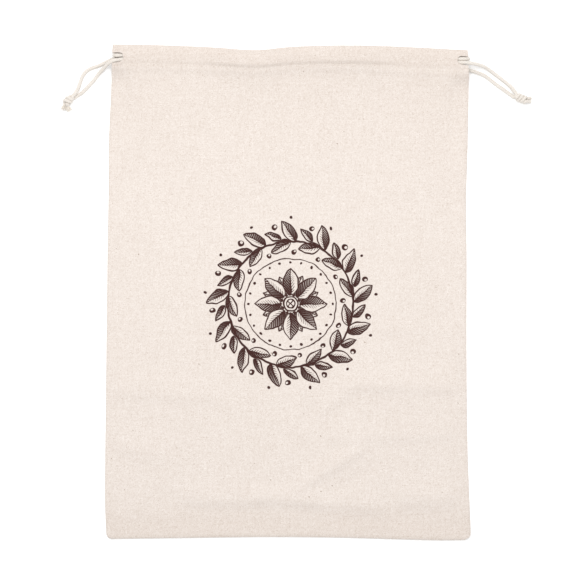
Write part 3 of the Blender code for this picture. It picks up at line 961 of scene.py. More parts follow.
@dataclass
class ClothPanel:
    """What the front and the back panel share: a sheet laid by rows over the outline, with an open casing.

    The profile is the casing's section, from the stitching over the fold and back: distance below the mouth's
    edge, and height.
    """

    outline: Outline
    slits: tuple[Slit, ...]
    profile: Table = ()
    stitch_line: np.ndarray = field(init=False)
    # distances of the first columns from the side, of those by the slits' ends, and of the last body rows
    # from the stitching
    edge_steps: tuple[float, ...] = (0.0, 0.12, 0.3, 0.6, 1.1, 1.8, 3.0, 4.6, 6.4)
    slit_steps: tuple[float, ...] = (6.9, 7.3, 7.6, 7.9, 8.2, 8.5, 8.8, 9.2, 9.8, 10.8)
    stitch_steps: tuple[float, ...] = (14.0, 12.0, 10.3, 8.8, 7.4, 6.2, 5.1, 4.1, 3.2, 2.4, 1.7, 1.1, 0.5)
    step_across: float = 1.9
    step_along: float = 2.2
    step_round: float = 0.62
    seam_roll: float = 0.65
    # the casing's open ends: height that they are pressed to, how far in, how much, and down to where
    pressed_z: float = 8.5
    pressed_length: float = 7.5
    pressed_share: float = 0.62
    pressed_depth: float = 13.2
    pressed_fade: float = 2.4
    # how deep the casing is parted by its slits, and down to where its section keeps its own depth
    parted_depth: float = 17.6
    kept_depth: float = 8.0
    # half of the stretch that a crossing raises, and how far beyond it the cloth takes to come down
    crossing_half: float = 12.0
    crossing_fade: float = 38.0

    def shares(self) -> np.ndarray:
        """Shares of the width at which the columns stand.

        Returns:
            The shares, closer together by the seams and the slits' ends.
        """
        edge = np.array([*self.edge_steps, *self.slit_steps])
        count = int(round((WIDTH - 2 * edge[-1]) / self.step_across))
        inner = np.linspace(edge[-1], WIDTH - edge[-1], count + 1)[1:-1]
        return np.concatenate([edge, inner, (WIDTH - edge)[::-1]]) / WIDTH

    def crossing(self, x: np.ndarray, middle: float) -> np.ndarray:
        """1 where the two cords cross, and 0 away from there."""
        return 1.0 - ease((np.abs(x - middle) - self.crossing_half) / self.crossing_fade)

    def distances(self, x: np.ndarray, y: np.ndarray) -> tuple[np.ndarray, np.ndarray]:
        """Distances from the outline.

        Args:
            x: Places across the bag.
            y: Places along it.

        Returns:
            Distance from the nearer side, rounded corners included, and from the nearest edge.
        """
        up = y - self.outline.foot(x)
        left, right = self.outline.side(Side.LEFT, y), self.outline.side(Side.RIGHT, y)
        from_side = np.minimum(x - left, right - x) - self.outline.corner(up.clip(0.0))
        return from_side, np.minimum(from_side, up).clip(0.0)

    def seam_drop(self, from_edge: np.ndarray) -> np.ndarray:
        """How far the cloth rolls towards the seam, by distance from the edge."""
        inside = np.clip(self.seam_roll - from_edge, 0.0, None)
        return self.seam_roll - np.sqrt(self.seam_roll**2 - inside**2)

    def body_height(self, x: np.ndarray, y: np.ndarray) -> np.ndarray:
        """Height of the middle of the cloth between the bottom edge and the stitching."""
        raise NotImplementedError

    def casing_lift(self, x: np.ndarray, down: np.ndarray, outer: bool) -> np.ndarray:
        """How far the crossing cords raise the casing."""
        raise NotImplementedError

    def casing_width(self) -> float:
        """Width of the bag at its casings."""
        return self.outline.across(1.0, CASING_Y) - self.outline.across(0.0, CASING_Y)

    def body_rows(self, shares: np.ndarray) -> np.ndarray:
        """Lay the body, from the bottom edge to just under the stitching.

        Args:
            shares: Shares of the width at which the columns stand.

        Returns:
            Rows by columns by x, y and z.
        """
        near_foot = np.array(self.edge_steps[:-1])
        near_stitch = np.array(self.stitch_steps)
        count = int(round((BODY_LENGTH - near_foot[-1] - near_stitch[0]) / self.step_along))
        even = np.linspace(near_foot[-1], BODY_LENGTH - near_stitch[0], count + 1)[1:-1]
        ups = np.concatenate([near_foot, even, BODY_LENGTH - near_stitch]) / BODY_LENGTH
        share, up = np.meshgrid(shares, ups)
        y = up * BODY_LENGTH - MOUTH_Y
        lowest = 192.0
        for _ in range(3):
            x = self.outline.across(share, y, self.outline.corner((y + lowest).clip(0.0)))
            low = self.outline.foot(x)
            high = self.outline.top(x) - through(self.outline.stitching, x)
            y = low + (high - low) * up
        return np.stack([x, y, self.body_height(x, y)], axis=2)

    def opened(self, down: np.ndarray, share: np.ndarray) -> np.ndarray:
        """Part the rows beside each slit.

        Args:
            down: Distances below the mouth's edge.
            share: Shares of the width.

        Returns:
            The distances after that.
        """
        deep = self.parted_depth
        for slit in self.slits:
            from_edge = (share if slit.side is Side.LEFT else 1.0 - share) * self.casing_width()
            over, under = slit.lips(from_edge)
            above = down * (slit.middle - over) / slit.middle
            below = deep - (deep - down) * (deep - slit.middle - under) / (deep - slit.middle)
            parted = np.where(down < slit.middle, above, np.where(down < deep, below, down))
            down = np.where(over > 0.0, parted, down)
        return down

    def casing_rows(self, shares: np.ndarray) -> np.ndarray:
        """Lay the casing: up its outer side, round the fold and down its hem.

        Args:
            shares: Shares of the width at which the columns stand.

        Returns:
            Rows by columns by x, y and z.
        """
        section = smooth_route([(down, z, 0.0) for down, z in self.profile], self.step_round)[:, :2]
        share, down = np.meshgrid(shares, section[:, 0])
        height = np.repeat(section[:, 1:2], len(shares), axis=1)
        outer = (np.arange(len(section)) < np.argmin(section[:, 0]))[:, None]
        x = self.outline.across(share, MOUTH_Y - down)
        stitch = through(self.outline.stitching, x)
        kept, own_stitch = self.kept_depth, self.profile[0][0]
        scaled = kept + (down - kept) * (stitch - kept) / (own_stitch - kept)
        down = np.where(down > kept, scaled, down)
        parted = self.opened(down, share)
        for _ in range(2):
            y = self.outline.top(x) - parted
            x = self.outline.across(share, y)
        lift = np.where(outer, self.casing_lift(x, down, True), self.casing_lift(x, down, False))
        from_end = np.minimum(share, 1.0 - share) * self.casing_width()
        pressed = 1.0 - ease(from_end / self.pressed_length)
        pressed = pressed * (1.0 - ease((down - self.pressed_depth) / self.pressed_fade)) * self.pressed_share
        height = mix(height, self.pressed_z, pressed)
        return np.stack([x, y, height + lift], axis=2)

    def build(self, name: str) -> bpy.types.Object:
        """Lay the sheet, part its slits and give it the cloth's thickness.

        Args:
            name: Name of the piece.

        Returns:
            The closed sheet.
        """
        shares = self.shares()
        body = self.body_rows(shares)
        self.stitch_line = body[-1]
        piece = lay_grid(name, np.concatenate([body, self.casing_rows(shares)]))
        self.part_slits(piece)
        sheet = piece.modifiers.new("cloth", "SOLIDIFY")
        sheet.thickness = CLOTH * MM
        sheet.offset = 0.0
        apply_modifiers(piece)
        self.face_outwards(piece)
        shade_smooth(piece, 60)
        return piece

    def face_outwards(self, piece: bpy.types.Object) -> None:
        """Turn the closed sheet's faces outwards.

        Args:
            piece: The sheet.
        """
        shape = bmesh.new()
        shape.from_mesh(piece.data)
        bmesh.ops.recalc_face_normals(shape, faces=shape.faces)
        shape.to_mesh(piece.data)
        shape.free()

    def part_slits(self, piece: bpy.types.Object) -> None:
        """Remove the faces inside each slit.

        Args:
            piece: The open sheet.
        """
        inner_x, lowest_y, spare = 120.0, 165.0, 0.05
        shape = bmesh.new()
        shape.from_mesh(piece.data)
        doomed = []
        for face in shape.faces:
            centre = face.calc_center_median() / MM
            if abs(centre.x) < inner_x or centre.y < lowest_y:
                continue
            down = self.outline.top(centre.x) - centre.y
            for slit in self.slits:
                edge_x = self.outline.across(0.0 if slit.side is Side.LEFT else 1.0, centre.y)
                over, under = slit.lips(min(abs(centre.x - edge_x), slit.length))
                if spare - over < down - slit.middle < under - spare:
                    doomed.append(face)
        bmesh.ops.delete(shape, geom=list(set(doomed)), context="FACES")
        shape.to_mesh(piece.data)
        shape.free()


@dataclass
class FrontPanel(ClothPanel):
    """The printed front cloth, with its soft packing folds."""

    slits: tuple[Slit, ...] = (
        Slit(Side.LEFT, middle=10.0, above=3.45, below=3.25, length=8.8, lean=1.1),
        Slit(Side.RIGHT, middle=8.6, above=3.3, below=3.05, length=8.4),
    )
    profile: Table = (
        (16.5, 9.75), (15.7, 9.85), (14.7, 10.2), (13.4, 10.55), (12.0, 10.8), (10.0, 11.0), (8.0, 11.15),
        (5.8, 11.15), (3.8, 10.95), (2.1, 10.35), (1.0, 9.3), (0.5, 8.1), (0.36, 6.9), (0.6, 6.0), (1.3, 5.62),
        (2.6, 5.8), (4.2, 6.25), (6.0, 6.4), (9.2, 6.4), (12.8, 6.6), (15.0, 7.8), (16.5, 8.75), (18.0, 8.1),
        (19.2, 7.5),
    )
    # x and y of one end, x and y of the other, width towards the mouth, width towards the bottom, height
    folds: Table = (
        (44.0, -71.5, 142.0, -75.0, 14.0, 5.0, 1.5),
        (60.0, -74.0, 142.0, -78.0, 20.0, 18.0, 0.8),
        (24.0, -94.0, 52.0, -74.0, 10.0, 5.0, 1.2),
        (8.0, -108.0, 24.0, -84.0, 4.5, 4.5, -0.8),
        (-143.0, -76.0, -52.0, -82.0, 14.0, 6.0, 1.1),
        (30.0, -114.0, 142.0, -109.0, 12.0, 5.5, 1.1),
        (8.0, -153.0, 60.0, -121.0, 9.0, 4.0, 1.6),
        (24.0, -160.0, 72.0, -133.0, 5.0, 7.0, -0.6),
        (-82.0, -160.0, -22.0, -162.0, 12.0, 5.5, 1.5),
        (-28.0, -159.5, 22.0, -163.0, 9.0, 5.0, 1.9),
        (16.0, -162.0, 74.0, -168.0, 11.0, 5.5, 1.4),
        (-80.0, -176.0, 38.0, -178.0, 6.0, 8.0, -0.7),
        (84.0, -161.0, 142.0, -157.0, 12.0, 8.0, 1.8),
        (88.0, -180.0, 142.0, -181.0, 7.0, 7.0, -0.9),
        (-142.0, -119.0, -92.0, -126.0, 12.0, 6.0, 0.9),
        (-70.0, 96.0, 40.0, 118.0, 15.0, 15.0, 0.4),
        (50.0, 60.0, 120.0, 96.0, 13.0, 13.0, 0.35),
        (72.0, -28.0, 142.0, -31.0, 8.0, 4.0, 0.5),
    )
    flat_z: float = 1.95
    stitch_z: float = 9.75
    fold_fade: float = 10.0

    def fold_height(self, x: np.ndarray, y: np.ndarray, fold: tuple[float, ...]) -> np.ndarray:
        """Height that one soft fold adds.

        Args:
            x: Places across the bag.
            y: Places along it.
            fold: Row of the table of folds.

        Returns:
            The heights.
        """
        x0, y0, x1, y1, above, below, height = fold
        long = math.hypot(x1 - x0, y1 - y0)
        along = ((x - x0) * (x1 - x0) + (y - y0) * (y1 - y0)) / long
        off = ((y - y0) * (x1 - x0) - (x - x0) * (y1 - y0)) / long
        fade = self.fold_fade
        ends = ease((along + fade) / (2 * fade)) * ease((long + fade - along) / (2 * fade))
        return height * ends * np.exp(-((off / np.where(off > 0.0, above, below)) ** 2))

    def rest_height(self, x: np.ndarray, y: np.ndarray, from_edge: np.ndarray) -> np.ndarray:
        """Height of the cloth over its flat level: seam allowance, air inside, folds and waves.

        Args:
            x: Places across the bag.
            y: Places along it.
            from_edge: Distances from the nearest edge.

        Returns:
            The heights.
        """
        from_left = x - self.outline.side(Side.LEFT, y)
        ridge = 0.2 + 0.25 * ease((from_left - 40.0) / 60.0)
        rim = 0.45 * ease(from_edge / 2.0) - ridge * ease((from_edge - 9.6) / 1.8)
        rim = rim - ridge * 0.6 * np.exp(-(((from_edge - 11.2) / 1.1) ** 2))
        billow = 0.9 * ease((from_edge - 10.0) / 45.0)
        folds = sum(self.fold_height(x, y, fold) for fold in self.folds) * ease((from_edge - 1.0) / 16.0)
        waves = unevenness(x, y, 55.0, 1.3) * 0.35 + unevenness(x, y, 19.0, 4.1) * 0.16
        return np.maximum(rim + billow + folds + waves * ease(from_edge / 12.0), 0.0)

    def body_height(self, x: np.ndarray, y: np.ndarray) -> np.ndarray:
        """Height of the middle of the cloth between the bottom edge and the stitching.

        Args:
            x: Places across the bag.
            y: Places along it.

        Returns:
            The heights.
        """
        below = self.outline.top(x) - through(self.outline.stitching, x) - y
        from_side, from_edge = self.distances(x, y)
        slope = np.exp(-below / 25.0) * (1.0 - ease((below - 45.0) / 60.0))
        puff = 0.45 * np.exp(-(((below - 3.2) / 2.6) ** 2))
        open_side = 1.0 + (ease(from_side / (15.0 + 0.3 * below)) - 1.0) * ease(below / 14.0)
        crossings = self.crossing(x, BACK_CROSSING_X) + self.crossing(x, FRONT_CROSSING_X)
        raised = FRONT_RAISE * 0.68 * crossings * np.exp(-below / 14.0) * (1.0 - ease(below / 60.0))
        mouth = ((self.stitch_z - self.flat_z) * slope + puff + raised) * open_side
        rest = self.rest_height(x, y, from_edge) * ease(below / 30.0)
        return self.flat_z + mouth + rest - self.seam_drop(from_edge)

    def casing_lift(self, x: np.ndarray, down: np.ndarray, outer: bool) -> np.ndarray:
        """How far the crossing cords raise the casing.

        Args:
            x: Places across the bag.
            down: Distances below the mouth's edge.
            outer: Whether it is the casing's outer side, and not its hem.

        Returns:
            The heights.
        """
        lift = FRONT_RAISE * self.crossing(x, BACK_CROSSING_X)
        if outer:
            lift = lift + FRONT_RAISE * self.crossing(x, FRONT_CROSSING_X) * ease((down - 1.6) / 4.0)
        return lift * (1.0 - 0.32 * ease((down - 11.5) / 3.6))


@dataclass
class BackPanel(ClothPanel):
    """The plain back cloth, which lies flat on the surface."""

    slits: tuple[Slit, ...] = (
        Slit(Side.LEFT, middle=9.75, above=3.6, below=3.7, length=8.6),
        Slit(Side.RIGHT, middle=10.9, above=5.9, below=5.4, length=8.2),
    )
    profile: Table = (
        (17.5, 0.82), (16.3, 0.66), (15.0, 0.44), (13.4, 0.36), (9.0, 0.36), (5.0, 0.36), (2.2, 0.36),
        (1.3, 0.55), (1.0, 1.1), (1.3, 1.7), (2.0, 2.0), (3.2, 2.9), (4.4, 4.2), (5.7, 5.05), (9.2, 5.1),
        (13.0, 5.1), (15.0, 4.3), (16.3, 2.7), (17.5, 1.65), (19.0, 1.6), (20.5, 1.6),
    )
    step_across: float = 3.0
    step_along: float = 4.5
    flat_z: float = 0.36
    pressed_z: float = 0.36

    def body_height(self, x: np.ndarray, y: np.ndarray) -> np.ndarray:
        """Height of the middle of the cloth.

        Args:
            x: Places across the bag.
            y: Places along it.

        Returns:
            The heights: flat, but rolled up to the seam at the edges and drawn up at the stitching.
        """
        _, from_edge = self.distances(x, y)
        below = self.outline.top(x) - through(self.outline.stitching, x) - y
        return self.flat_z + self.seam_drop(from_edge) + 0.46 * np.exp(-((below / 2.6) ** 2))

    def casing_lift(self, x: np.ndarray, down: np.ndarray, outer: bool) -> np.ndarray:
        """How far the crossing in the back casing raises its hem.

        Args:
            x: Places across the bag.
            down: Distances below the mouth's edge.
            outer: Whether it is the casing's outer side, and not its hem.

        Returns:
            The heights.
        """
        if outer:
            return np.zeros_like(x)
        shape = ease((down - 2.2) / 4.0) * (1.0 - ease((down - 12.0) / 3.6))
        return CROSSING_LIFT * self.crossing(x, BACK_CROSSING_X) * shape


@dataclass
class Stitching:
    """A row of running stitches through a casing."""

    pitch: float = 3.1
    long: float = 2.3
    thick: float = 0.42
    dip: float = 0.38
    slimming: float = 0.45
    sides: int = 6
    cuts: tuple[float, ...] = (-0.36, -0.12, 0.12, 0.36)

    def one(self, facing: float) -> bpy.types.Object:
        """Model one stitch, along x, dipping into the cloth at both ends.

        Args:
            facing: 1 for a stitch on the cloth's upper side, -1 for one on its lower side.

        Returns:
            The stitch, at the origin.
        """
        deselect()
        quarter = math.pi / 2
        bpy.ops.mesh.primitive_cylinder_add(vertices=self.sides, radius=0.5, depth=1.0, rotation=(0, quarter, 0))
        stitch = bpy.context.object
        bpy.ops.object.transform_apply(location=True, rotation=True, scale=True)
        bpy.ops.object.mode_set(mode="EDIT")
        bpy.ops.mesh.select_all(action="SELECT")
        for place in self.cuts:
            bpy.ops.mesh.bisect(plane_co=(place, 0, 0), plane_no=(1, 0, 0))
            bpy.ops.mesh.select_all(action="SELECT")
        bpy.ops.object.mode_set(mode="OBJECT")
        for vertex in stitch.data.vertices:
            share = vertex.co.x
            thick = self.thick * (1.0 - self.slimming * (2 * abs(share)) ** 3) * MM
            vertex.co.x = share * self.long * MM
            vertex.co.y *= thick
            vertex.co.z = vertex.co.z * thick - facing * self.dip * (2 * share) ** 4 * MM
        return stitch

    def row(self, name: str, line: np.ndarray, rise: float) -> bpy.types.Object:
        """Copy the stitch along a line.

        Args:
            name: Name of the piece.
            line: Points of the line, in millimetres.
            rise: Height of the stitches over the line.

        Returns:
            All the stitches as one piece.
        """
        along = travelled(line)
        model = self.one(math.copysign(1.0, rise))
        copies = []
        count = int(along[-1] / self.pitch)
        for k in range(1, count):
            at = along[-1] * k / count + 0.25 * math.sin(k * 2.3)
            here, there = (
                np.array([np.interp(place, along, line[:, i]) for i in range(3)]) for place in (at, at + 1.0)
            )
            turn = Vector(there - here).to_track_quat("X", "Z").to_matrix().to_4x4()
            copy = model.copy()
            copy.data = model.data.copy()
            bpy.context.scene.collection.objects.link(copy)
            copy.data.transform(Matrix.Translation((Vector(here) + Vector((0, 0, rise))) * MM) @ turn)
            copies.append(copy)
        bpy.data.objects.remove(model)
        return join(copies, name)


@dataclass
class Drawcord:
    """One drawcord: a free strand, its run through both casings, and its other free strand.

    The strands are points. A run's rows are x, distance below the mouth's edge and height over the casing's level.
    """

    name: str
    home: Side
    first_layer: Layer
    turn_x: float
    first_strand: tuple[Point, ...]
    first_run: Table
    second_run: Table
    second_strand: tuple[Point, ...]
    outline: Outline
    lines: dict[str, np.ndarray] = field(init=False)
    sides: int = 18
    run_samples: int = 53
    turn_angles: tuple[int, ...] = (-60, -35, -12, 12, 35, 60)
    inside_x: float = 126.0

    def run_points(self, run: Table, layer: Layer, rightwards: bool) -> list[Point]:
        """Lay a run in its casing.

        Args:
            run: Table of the run.
            layer: Whose casing it lies in.
            rightwards: Whether the cord goes through it from left to right.

        Returns:
            Points of the run, in the cord's order.
        """
        panel = FrontPanel(self.outline)
        points = []
        for x in np.linspace(run[0][0], run[-1][0], self.run_samples):
            level = BACK_CORD_Z if layer is Layer.BACK else FRONT_CORD_Z
            level += max(float(through(run, x, 2)), 0.0)
            if layer is Layer.FRONT:
                level += FRONT_RAISE * float(panel.crossing(x, BACK_CROSSING_X))
            points.append((float(x), float(self.outline.top(x) - through(run, x)), level))
        return points if rightwards else points[::-1]

    def turn_points(self, start: Point, end: Point) -> list[Point]:
        """Lay the turn round the far side of the bag.

        Args:
            start: Where the first run ends.
            end: Where the second one starts.

        Returns:
            Points of the turn.
        """
        points = []
        for angle in (math.radians(degrees) for degrees in self.turn_angles):
            t = (math.sin(angle) + 1) / 2
            x = mix((start[0] + end[0]) / 2, self.turn_x, math.cos(angle) ** 0.8)
            points.append((x, mix(start[1], end[1], t), mix(start[2], end[2], t)))
        return points

    def route(self) -> np.ndarray:
        """Lay the whole cord, from one knot end to the other.

        Returns:
            A point every millimetre.
        """
        second_layer = Layer.FRONT if self.first_layer is Layer.BACK else Layer.BACK
        outwards = self.home is Side.LEFT
        first = self.run_points(self.first_run, self.first_layer, outwards)
        back = self.run_points(self.second_run, second_layer, not outwards)
        turn = self.turn_points(first[-1], back[0])
        return smooth_route([*self.first_strand, *first, *turn, *back, *self.second_strand], 1.0)

    def radii(self, centres: np.ndarray, start: float) -> np.ndarray:
        """Radius of the cord: a little uneven, and wider where a slit flattens it.

        Args:
            centres: Points of its centre line.
            start: Place of the first of them along the cord.

        Returns:
            The radius at each point and round it.
        """
        place = np.arange(len(centres))[:, None] + start
        off = np.abs(np.abs(centres[:, :1]) - SLIT_X)
        wider = 1.0 + 0.1 * (1.0 - ease((off - 3.0) / 6.0)) * (centres[:, 1:2] > 170.0)
        angle = np.arange(self.sides)[None, :] * 2 * math.pi / self.sides
        twist = 0.035 * np.cos(3 * angle - place * 0.75)
        slow = 0.03 * np.sin(place * 0.37) + 0.02 * np.sin(place * 0.13 + 1.0)
        return CORD / 2 * (0.93 + twist + slow) * wider

    def build(self) -> dict[str, bpy.types.Object]:
        """Model the two free strands and the run between them.

        Returns:
            The three pieces by name.
        """
        line = self.route()
        inside = np.abs(line[:, 0]) < self.inside_x
        first, last = int(np.argmax(inside)), len(line) - 1 - int(np.argmax(inside[::-1]))
        self.lines = {"start": line[: first + 1], "run": line[first : last + 1], "end": line[last:]}
        pieces = {}
        for (part, centres), place in zip(self.lines.items(), (0, first, last)):
            pieces[part] = tube(f"{self.name}_{part}", centres, self.radii(centres, place))
            shade_smooth(pieces[part], 50)
        return pieces


@dataclass(frozen=True)
class Fray:
    """How loose the yarns at a cut end are, and how much the cord narrows towards them."""

    count: int
    reach: float
    spread: float
    radius: float
    narrowing: float


@dataclass
class Knot:
    """An overhand knot that ties a cord's two strands, with the cut ends beyond it."""

    name: str
    centre: Point
    heading: float
    half_long: float
    coil: float
    thick: float
    turns: float
    start: float
    ends: tuple[Point, Point]
    fray: Fray
    sides: int = 16

    def axes(self) -> tuple[np.ndarray, np.ndarray, np.ndarray]:
        """Find the knot's own directions.

        Returns:
            The directions along the knot, across it and up.
        """
        angle = math.radians(self.heading)
        along = np.array([math.cos(angle), math.sin(angle), 0.0])
        return along, np.array([-along[1], along[0], 0.0]), np.array([0.0, 0.0, 1.0])

    def strand(self, tip: np.ndarray, before: np.ndarray, end: Point, hand: float) -> np.ndarray:
        """Line of one strand through the knot.

        Args:
            tip: Where the free strand ends.
            before: A point of the strand a little before that.
            end: The cut end.
            hand: Angle at which the strand starts round the knot's axis.

        Returns:
            Points of the line.
        """
        centre = np.array(self.centre)
        along, across, up = self.axes()
        onward = (tip - before) / np.linalg.norm(tip - before)
        points = [tip - onward * 0.9, tip + onward * 0.5]
        steps = int(round(abs(self.turns) * 8))
        for k in range(steps + 1):
            t = k / steps
            angle = hand + 2 * math.pi * self.turns * t
            wide = self.coil * (0.86 + 0.14 * math.sin(math.pi * t))
            ring = across * math.cos(angle) + up * math.sin(angle) * 0.92
            points.append(centre + along * mix(-self.half_long, self.half_long, t) + ring * wide)
        points.append((points[-1] * 0.4 + np.array(end) * 0.6) - up * 0.2)
        points.append(np.array(end))
        return smooth_route([tuple(float(v) for v in point) for point in points], 0.5)

    def radii(self, count: int) -> np.ndarray:
        """Radius of a strand in the knot, from the free cord's to its cut end's.

        Args:
            count: Number of points of its line.

        Returns:
            The radius at each point and round it.
        """
        place = np.arange(count)[:, None]
        angle = np.arange(self.sides)[None, :] * 2 * math.pi / self.sides
        smooth = mix(CORD / 2 * 0.935, self.thick / 2, ease(place / 9.0))
        tapered = 1.0 - self.fray.narrowing * ease((place - count + 8) / 8.0)
        return smooth * (1.0 + 0.03 * np.cos(3 * angle - place * 0.4)) * tapered

    def build(self, cord: Drawcord, cotton: bpy.types.Material, fibres: bpy.types.Material) -> bpy.types.Object:
        """Model the knot on a cord's two strand ends.

        Args:
            cord: The cord, already built.
            cotton: Finish of the strands.
            fibres: Finish of their cut ends.

        Returns:
            The knot with its ends.
        """
        first, last = cord.lines["start"], cord.lines["end"]
        starts = ((first[0], first[3]), (last[-1], last[-4]))
        pieces, yarns = [self.core()], []
        for k, ((tip, before), end) in enumerate(zip(starts, self.ends)):
            line = self.strand(tip, before, end, self.start + math.pi * k)
            pieces.append(tube(f"{self.name}_{k}", line, self.radii(len(line))))
            yarns.extend(self.yarns(line, k))
        for group, finish in ((pieces, cotton), (yarns, fibres)):
            for piece in group:
                piece.data.materials.append(finish)
        knot = join([*pieces, *yarns], self.name)
        shade_smooth(knot, 50)
        return knot

    def core(self) -> bpy.types.Object:
        """Model the turns hidden inside the knot.

        Returns:
            A lump that fills it.
        """
        deselect()
        bpy.ops.mesh.primitive_uv_sphere_add(segments=16, ring_count=10, radius=1.0)
        core = bpy.context.object
        size = Matrix.Diagonal((self.half_long * 0.95 * MM, self.coil * 0.8 * MM, self.coil * 0.75 * MM, 1.0))
        turn = Matrix.Rotation(math.radians(self.heading), 4, "Z")
        core.data.transform(Matrix.Translation(Vector(self.centre) * MM) @ turn @ size)
        return core

    def yarns(self, line: np.ndarray, which: int) -> list[bpy.types.Object]:
        """Model the loose yarns at a cut end.

        Args:
            line: Line of the strand.
            which: Number of the strand.

        Returns:
            The yarns.
        """
        fray, golden_angle, lowest = self.fray, 2.399963, 0.3
        tip, ahead = line[-1], line[-1] - line[-4]
        ahead = ahead / np.linalg.norm(ahead)
        across = np.cross(ahead, (0.0, 0.0, 1.0))
        across /= np.linalg.norm(across)
        up = np.cross(across, ahead)
        yarns = []
        for k in range(fray.count):
            angle = k * golden_angle + which
            ring = math.sqrt((k + 0.5) / fray.count)
            out = across * math.cos(angle) + up * math.sin(angle)
            root = tip + out * ring * self.thick * 0.36 - ahead * 0.9
            long = fray.reach * (0.72 + 0.28 * math.sin(k * 1.7 + which))
            end = root + ahead * (long + 0.9) + out * fray.spread * ring + across * 0.35 * math.sin(k * 3.1)
            bend = (root + end) / 2 + out * 0.35 * math.sin(k * 2.1)
            bend[2], end[2] = max(bend[2], lowest), max(end[2], lowest)
            centres = smooth_route([tuple(root), tuple(bend), tuple(end)], 0.8)
            radii = np.linspace(fray.radius, fray.radius * 0.6, len(centres))[:, None] * np.ones((1, 4))
            yarns.append(tube(f"{self.name}_yarn", centres, radii))
        return yarns


@dataclass
class Studio:
    """Floor, lights and camera. Lens and sensor are in millimetres, and the rest in metres."""

    lens: float = 180.0
    sensor: float = 36.0
    span: float = 0.4486
    level: float = 0.006
    middle_y: float = 0.0035
    sky: float = 0.82
    lamp_place: Point = (-0.05, 0.48, 1.24)
    lamp_size: float = 0.7
    lamp_watts: float = 9.6

    def floor(self) -> None:
        """Lay the white surface."""
        deselect()
        bpy.ops.mesh.primitive_plane_add(size=8.0)
        floor = bpy.context.object
        floor.name = FLOOR
        floor.data.materials.append(TableFinish().material())

    def lamp(self) -> None:
        """Add a soft square lamp that faces the bag."""
        light = bpy.data.lights.new("key", "AREA")
        light.size, light.energy = self.lamp_size, self.lamp_watts
        lamp = bpy.data.objects.new("key", light)
        bpy.context.scene.collection.objects.link(lamp)
        lamp.location = self.lamp_place
        lamp.rotation_euler = (-Vector(self.lamp_place)).to_track_quat("-Z", "Y").to_euler()
        lamp.visible_camera = False

    def world(self) -> None:
        """Surround the bag with even white light."""
        world = bpy.data.worlds.new("studio")
        world.use_nodes = True
        background = world.node_tree.nodes["Background"]
        background.inputs[0].default_value = WHITE
        background.inputs[1].default_value = self.sky
        bpy.context.scene.world = world
        bpy.context.scene.view_settings.view_transform = "Standard"

    def build(self) -> None:
        """Set up the studio, with the camera straight above the bag."""
        self.floor()
        self.lamp()
        self.world()
        camera = bpy.data.cameras.new("camera")
        camera.lens, camera.sensor_width = self.lens, self.sensor
        camera.clip_end = 20.0
        stand = bpy.data.objects.new("camera", camera)
        stand.location = (0.0, self.middle_y, self.span * self.lens / self.sensor + self.level)
        bpy.context.scene.collection.objects.link(stand)
        bpy.context.scene.camera = stand


